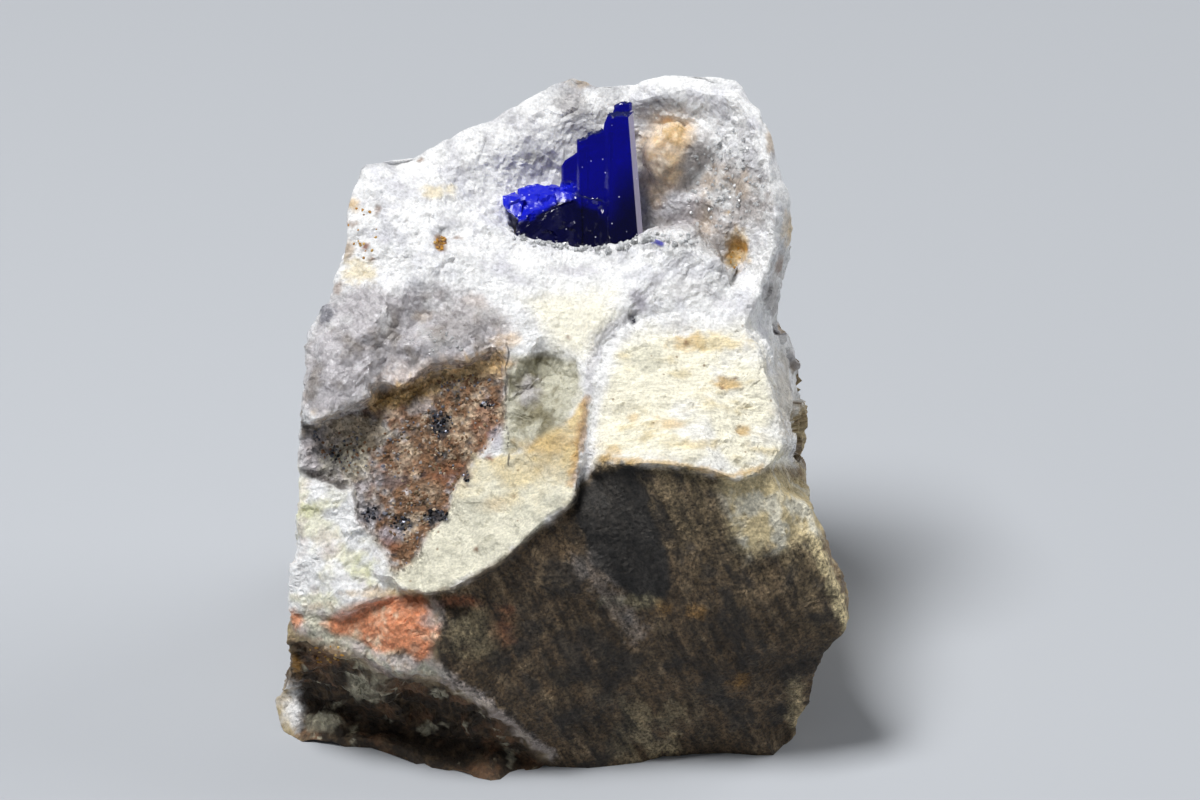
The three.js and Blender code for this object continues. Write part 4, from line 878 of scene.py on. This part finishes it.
links.new(stretch_range(nodes, links, solid, 0, 1, 0.55, 0.0), shader.inputs["Transmission Weight"])
shader.inputs["IOR"].default_value = 1.8
shader.inputs["Specular IOR Level"].default_value = 0.08
links.new(stretch_range(nodes, links, broken_share, 0, 1, 0.08, 0.25), shader.inputs["Roughness"])
absorb = nodes.new("ShaderNodeVolumeAbsorption")
absorb.inputs["Color"].default_value = PASSED_BLUE
absorb.inputs["Density"].default_value = ABSORPTION
links.new(absorb.outputs["Volume"], nodes["Material Output"].inputs["Volume"])
striae_place = directed(nodes, links, Vector(face_up), Vector((1, 0, 0)), 4.0 * MM, 0.3 * MM)
striae = speckle(nodes, links, detail=4.0, place=striae_place)
rough_break = maths(nodes, links, "MULTIPLY", speckle(nodes, links, 0.25 * MM), broken_share)
bump = nodes.new("ShaderNodeBump")
bump.inputs["Strength"].default_value = 0.3
bump.inputs["Distance"].default_value = 0.03 * MM
links.new(maths(nodes, links, "ADD", striae, rough_break), bump.inputs["Height"])
links.new(bump.outputs["Normal"], shader.inputs["Normal"])
crystal_piece = show("linarite", crystal_mesh, crystal_finish)
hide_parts("linarite_crystal")

# The quartz druse: small clear to milky quartz points, six-sided, grown on the rock in its open hollows.
# They line the vug, stand along the crystal's foot and sugar the ledge beside it.
chance = random.Random(7)
TO_ROCK = (from_face(0, 0, 0) - from_face(0, 0, 1)).normalized()
FAR_OUT = 40  # mm in front of the face
LEAST_SHARE = 0.45  # the smallest in a group, as a share of its widest


def land(across, up):
    """Where a line square to the display face meets the rock, and which way the rock faces there."""
    hit, facing, _, _ = rock_tree.ray_cast(from_face(across, up, FAR_OUT), TO_ROCK)
    return hit, facing


def spots_in(groups):
    """Random places and widths, in groups of a middle, half width, half height, widest and count."""
    for across, up, half_width, half_height, widest, count in groups:
        for _ in range(count):
            angle = chance.uniform(0, 2 * math.pi)
            reach = math.sqrt(chance.random())
            width = widest * chance.uniform(LEAST_SHARE, 1) * MM
            to_right, to_top = reach * math.cos(angle), reach * math.sin(angle)
            yield across + half_width * to_right, up + half_height * to_top, width


def stand_on(hit, facing, lean, sink):
    """The placing of a small piece on the rock: leaning at random, turned, and sunk in."""
    axis = facing + Vector([chance.uniform(-lean, lean) for _ in range(3)])
    turn = Matrix.Rotation(chance.uniform(0, 2 * math.pi), 4, "Z")
    return Matrix.Translation(hit - sink * facing) @ axis.to_track_quat("Z", "Y").to_matrix().to_4x4() @ turn


def add_copy(whole, template, placing):
    """Adds a copy of a template mesh to a bmesh and returns its vertices."""
    start = len(whole.verts)
    whole.from_mesh(template)
    whole.verts.ensure_lookup_table()
    copy = whole.verts[start:]
    bmesh.ops.transform(whole, matrix=placing, verts=copy)
    return copy


point = bmesh.new()
bmesh.ops.create_cone(point, cap_ends=True, segments=6, radius1=0.5, radius2=0.46, depth=1.0)
top = max(point.faces, key=lambda f: f.calc_center_median().z)
bmesh.ops.poke(point, faces=[top], offset=0.42)
point_template = bpy.data.meshes.new("quartz_point")
point.to_mesh(point_template)
point.free()

DRUSE_GROUPS = [
    (6.4, 24.2, 1.0, 1.2, 0.24, 36), (7.4, 24.8, 1.1, 1.3, 0.24, 40), (6.4, 26.2, 0.8, 0.6, 0.22, 20),
    (-1.6, 22.68, 0.35, 0.1, 0.28, 12), (-0.8, 22.48, 0.5, 0.1, 0.28, 14), (0.1, 22.33, 0.5, 0.1, 0.30, 14),
    (1.0, 22.20, 0.5, 0.1, 0.30, 14), (1.8, 22.20, 0.5, 0.1, 0.32, 14), (2.6, 22.32, 0.4, 0.1, 0.34, 14),
    (3.3, 22.55, 0.35, 0.12, 0.34, 12), (3.9, 22.7, 0.6, 0.2, 0.34, 16),
    (5.0, 22.6, 0.9, 0.25, 0.34, 20), (7.0, 26.6, 1.0, 0.9, 0.24, 16), (-5.0, 18.3, 1.2, 0.5, 0.16, 24),
]
druse = bmesh.new()
for across, up, width in spots_in(DRUSE_GROUPS):
    hit, facing = land(across, up)
    if hit is None:
        continue
    placing = stand_on(hit, facing, 0.6, 0.45 * width)
    stretch = Matrix.Diagonal((width, width * chance.uniform(0.7, 1.0), width * chance.uniform(0.8, 1.4), 1))
    for v in add_copy(druse, point_template, placing @ stretch):
        v.co += Vector([chance.uniform(-0.07, 0.07) for _ in range(3)]) * width
bmesh.ops.recalc_face_normals(druse, faces=druse.faces)
druse_mesh = bpy.data.meshes.new("quartz_druse")
druse.to_mesh(druse_mesh)
druse.free()
druse_finish, nodes, links, shader = material("clear_quartz")
haze = stretch_range(nodes, links, speckle(nodes, links, 0.3 * MM), 0.3, 0.7, 0.90, 0.98)
veil = nodes.new("ShaderNodeCombineColor")
for socket in ("Red", "Green", "Blue"):
    links.new(haze, veil.inputs[socket])
links.new(veil.outputs["Color"], shader.inputs["Base Color"])
gloss = stretch_range(nodes, links, speckle(nodes, links, 0.15 * MM), 0.3, 0.7, 0.08, 0.3)
links.new(gloss, shader.inputs["Roughness"])
shader.inputs["Transmission Weight"].default_value = 0.08
shader.inputs["Subsurface Weight"].default_value = 0.8
shader.inputs["Subsurface Radius"].default_value = (1.0, 0.95, 0.9)
shader.inputs["Subsurface Scale"].default_value = 0.9 * MM
shader.inputs["IOR"].default_value = 1.54
show("quartz_druse", druse_mesh, druse_finish)

# The pocket grains: crumbs of rust, ochre and pale quartz left in the brown pocket by weathered ore.
# They are loose-packed angular grains, held by the rock below them.
crumb = bmesh.new()
bmesh.ops.create_icosphere(crumb, subdivisions=1, radius=0.5)
crumb_template = bpy.data.meshes.new("crumb")
crumb.to_mesh(crumb_template)
crumb.free()


def scatter_crumbs(groups, colours, name):
    """A joined mesh of angular crumbs on the rock, each of one of the colours."""
    whole = bmesh.new()
    tints = []
    for across, up, width in spots_in(groups):
        hit, facing = land(across, up)
        if hit is None:
            continue
        stretch = [width * chance.uniform(0.7, 1.3) for _ in range(3)]
        placing = stand_on(hit, facing, 0.8, 0.2 * width)
        copy = add_copy(whole, crumb_template, placing @ Matrix.Diagonal((*stretch, 1)))
        for v in copy:
            v.co += Vector([chance.uniform(-0.12, 0.12) for _ in range(3)]) * width
        shade = chance.uniform(0.75, 1.1)
        tints += [np.clip(chance.choice(colours) * shade, 0, 1)] * len(copy)
    mesh = bpy.data.meshes.new(name)
    whole.to_mesh(mesh)
    whole.free()
    add_colours(mesh, "tint", np.array(tints))
    return mesh


POCKET_GROUPS = [
    (-4.0, 15.2, 1.5, 1.8, 0.2, 150), (-5.6, 13.4, 1.6, 2.0, 0.2, 170), (-8.2, 13.9, 1.7, 1.0, 0.2, 100),
    (-6.2, 11.2, 1.1, 1.2, 0.2, 80), (-6.2, 9.6, 0.4, 0.6, 0.16, 20), (-4.0, 16.6, 1.2, 0.4, 0.2, 40),
]
RUST_GROUPS = [
    (7.35, 22.0, 0.3, 0.6, 0.18, 12), (-4.95, 22.45, 0.25, 0.28, 0.24, 22), (-8.2, 23.0, 0.7, 1.2, 0.2, 16),
    (-9.6, 5.3, 0.9, 0.5, 0.2, 30),
]
pocket_colours = [RUST, RUST, RUST, TAN, UMBER_PALE, UMBER, GREY_DEEP, STEEL]
pocket_mesh = scatter_crumbs(POCKET_GROUPS, pocket_colours, "pocket_grains")
ochre_mesh = scatter_crumbs(RUST_GROUPS, [GOLD, GOLD, OCHRE, RUST], "ochre_grains")
crumb_finish, nodes, links, shader = material("rusty_crumbs")
crumb_tint = read_attribute(nodes, "tint").outputs["Color"]
crumb_dust = stretch_range(nodes, links, speckle(nodes, links, 0.08 * MM, 2.0), 0.3, 0.7, 0.75, 1.15)
links.new(mix_colours(nodes, links, "MULTIPLY", 1.0, crumb_tint, crumb_dust), shader.inputs["Base Color"])
crumb_gloss = stretch_range(nodes, links, speckle(nodes, links, 0.1 * MM), 0.3, 0.7, 0.5, 0.85)
links.new(crumb_gloss, shader.inputs["Roughness"])
show("pocket_grains", pocket_mesh, crumb_finish)
show("ochre_grains", ochre_mesh, crumb_finish)

# The ore grains: small blue-black grains with a metal shine, the ore that the blue crystal formed from.
# They sit in clusters in the brown pocket and along the left edge.
ORE_GROUPS = [
    (-4.9, 14.9, 0.45, 0.5, 0.24, 45), (-3.06, 15.75, 0.22, 0.18, 0.2, 12),
    (-6.6, 10.8, 0.45, 0.28, 0.22, 28), (-5.1, 11.1, 0.5, 0.28, 0.22, 30),
    (-7.8, 11.2, 0.5, 0.4, 0.2, 26), (-3.85, 12.75, 0.18, 0.22, 0.2, 10),
    (-10.1, 14.5, 0.15, 0.4, 0.16, 10), (3.05, 19.3, 0.12, 0.14, 0.16, 6),
    (-9.0, 13.7, 0.6, 0.4, 0.2, 18),
]
ore_mesh = scatter_crumbs(ORE_GROUPS, [BLUE_BLACK, STEEL], "ore_grains")
ore_finish, nodes, links, shader = material("blue_black_ore")
ore_tint = read_attribute(nodes, "tint").outputs["Color"]
tarnish = stretch_range(nodes, links, speckle(nodes, links, 0.12 * MM), 0.3, 0.7, 0.6, 1.3)
links.new(mix_colours(nodes, links, "MULTIPLY", 1.0, ore_tint, tarnish), shader.inputs["Base Color"])
ore_gloss = stretch_range(nodes, links, speckle(nodes, links, 0.1 * MM), 0.3, 0.7, 0.22, 0.5)
links.new(ore_gloss, shader.inputs["Roughness"])
shader.inputs["Metallic"].default_value = 0.8
show("ore_grains", ore_mesh, ore_finish)

# The table: a plain pale floor of matt card, with the specimen standing on its flat base.
# A small soft lamp hangs above and to the left, and two weaker ones fill the front and the right side.
floor = bmesh.new()
bmesh.ops.create_grid(floor, x_segments=1, y_segments=1, size=1.5)
floor_mesh = bpy.data.meshes.new("floor")
floor.to_mesh(floor_mesh)
floor.free()
floor_piece = bpy.data.objects.new("floor", floor_mesh)
bpy.context.collection.objects.link(floor_piece)
floor_finish, nodes, links, shader = material("pale_floor")
shader.inputs["Base Color"].default_value = (0.46, 0.48, 0.51, 1)
shader.inputs["Roughness"].default_value = 0.8
floor_mesh.materials.append(floor_finish)


def soft_lamp(name, place, aim, width, power):
    """A square soft lamp, in metres and watts, that points at a place."""
    lamp = bpy.data.lights.new(name, "AREA")
    lamp.size = width
    lamp.energy = power
    holder = bpy.data.objects.new(name, lamp)
    holder.location = place
    holder.rotation_euler = (Vector(aim) - Vector(place)).to_track_quat("-Z", "Y").to_euler()
    bpy.context.collection.objects.link(holder)


MIDDLE = (0, 0, 12 * MM)
soft_lamp("top_lamp", (-0.09, -0.04, 0.30), MIDDLE, 0.10, 1.06)
soft_lamp("front_fill", (-0.25, -0.30, 0.15), MIDDLE, 0.3, 0.06)
soft_lamp("side_fill", (0.26, 0.10, 0.18), MIDDLE, 0.2, 0.42)
world = bpy.data.worlds.new("studio")
world.use_nodes = True
world.node_tree.nodes["Background"].inputs["Color"].default_value = (0.80, 0.86, 0.95, 1)
world.node_tree.nodes["Background"].inputs["Strength"].default_value = 0.10
bpy.context.scene.world = world
bpy.context.scene.view_settings.view_transform = "Standard"

# The camera looks square on to the display face, from far enough to flatten the view.
VIEW_MIDDLE = (1.667, 15.92)  # place on the face at the middle of the picture
VIEW_DISTANCE = 294
PIXELS_PER_MM, PICTURE_WIDTH = 24, 1200
camera = bpy.data.cameras.new("camera")
camera.sensor_width = 36
camera.lens = camera.sensor_width * PIXELS_PER_MM * VIEW_DISTANCE / PICTURE_WIDTH
camera_holder = bpy.data.objects.new("camera", camera)
camera_holder.location = from_face(*VIEW_MIDDLE, VIEW_DISTANCE)
camera_holder.rotation_euler = (math.pi / 2 - FACE_LEAN, 0, 0)
bpy.context.collection.objects.link(camera_holder)
bpy.context.scene.camera = camera_holder
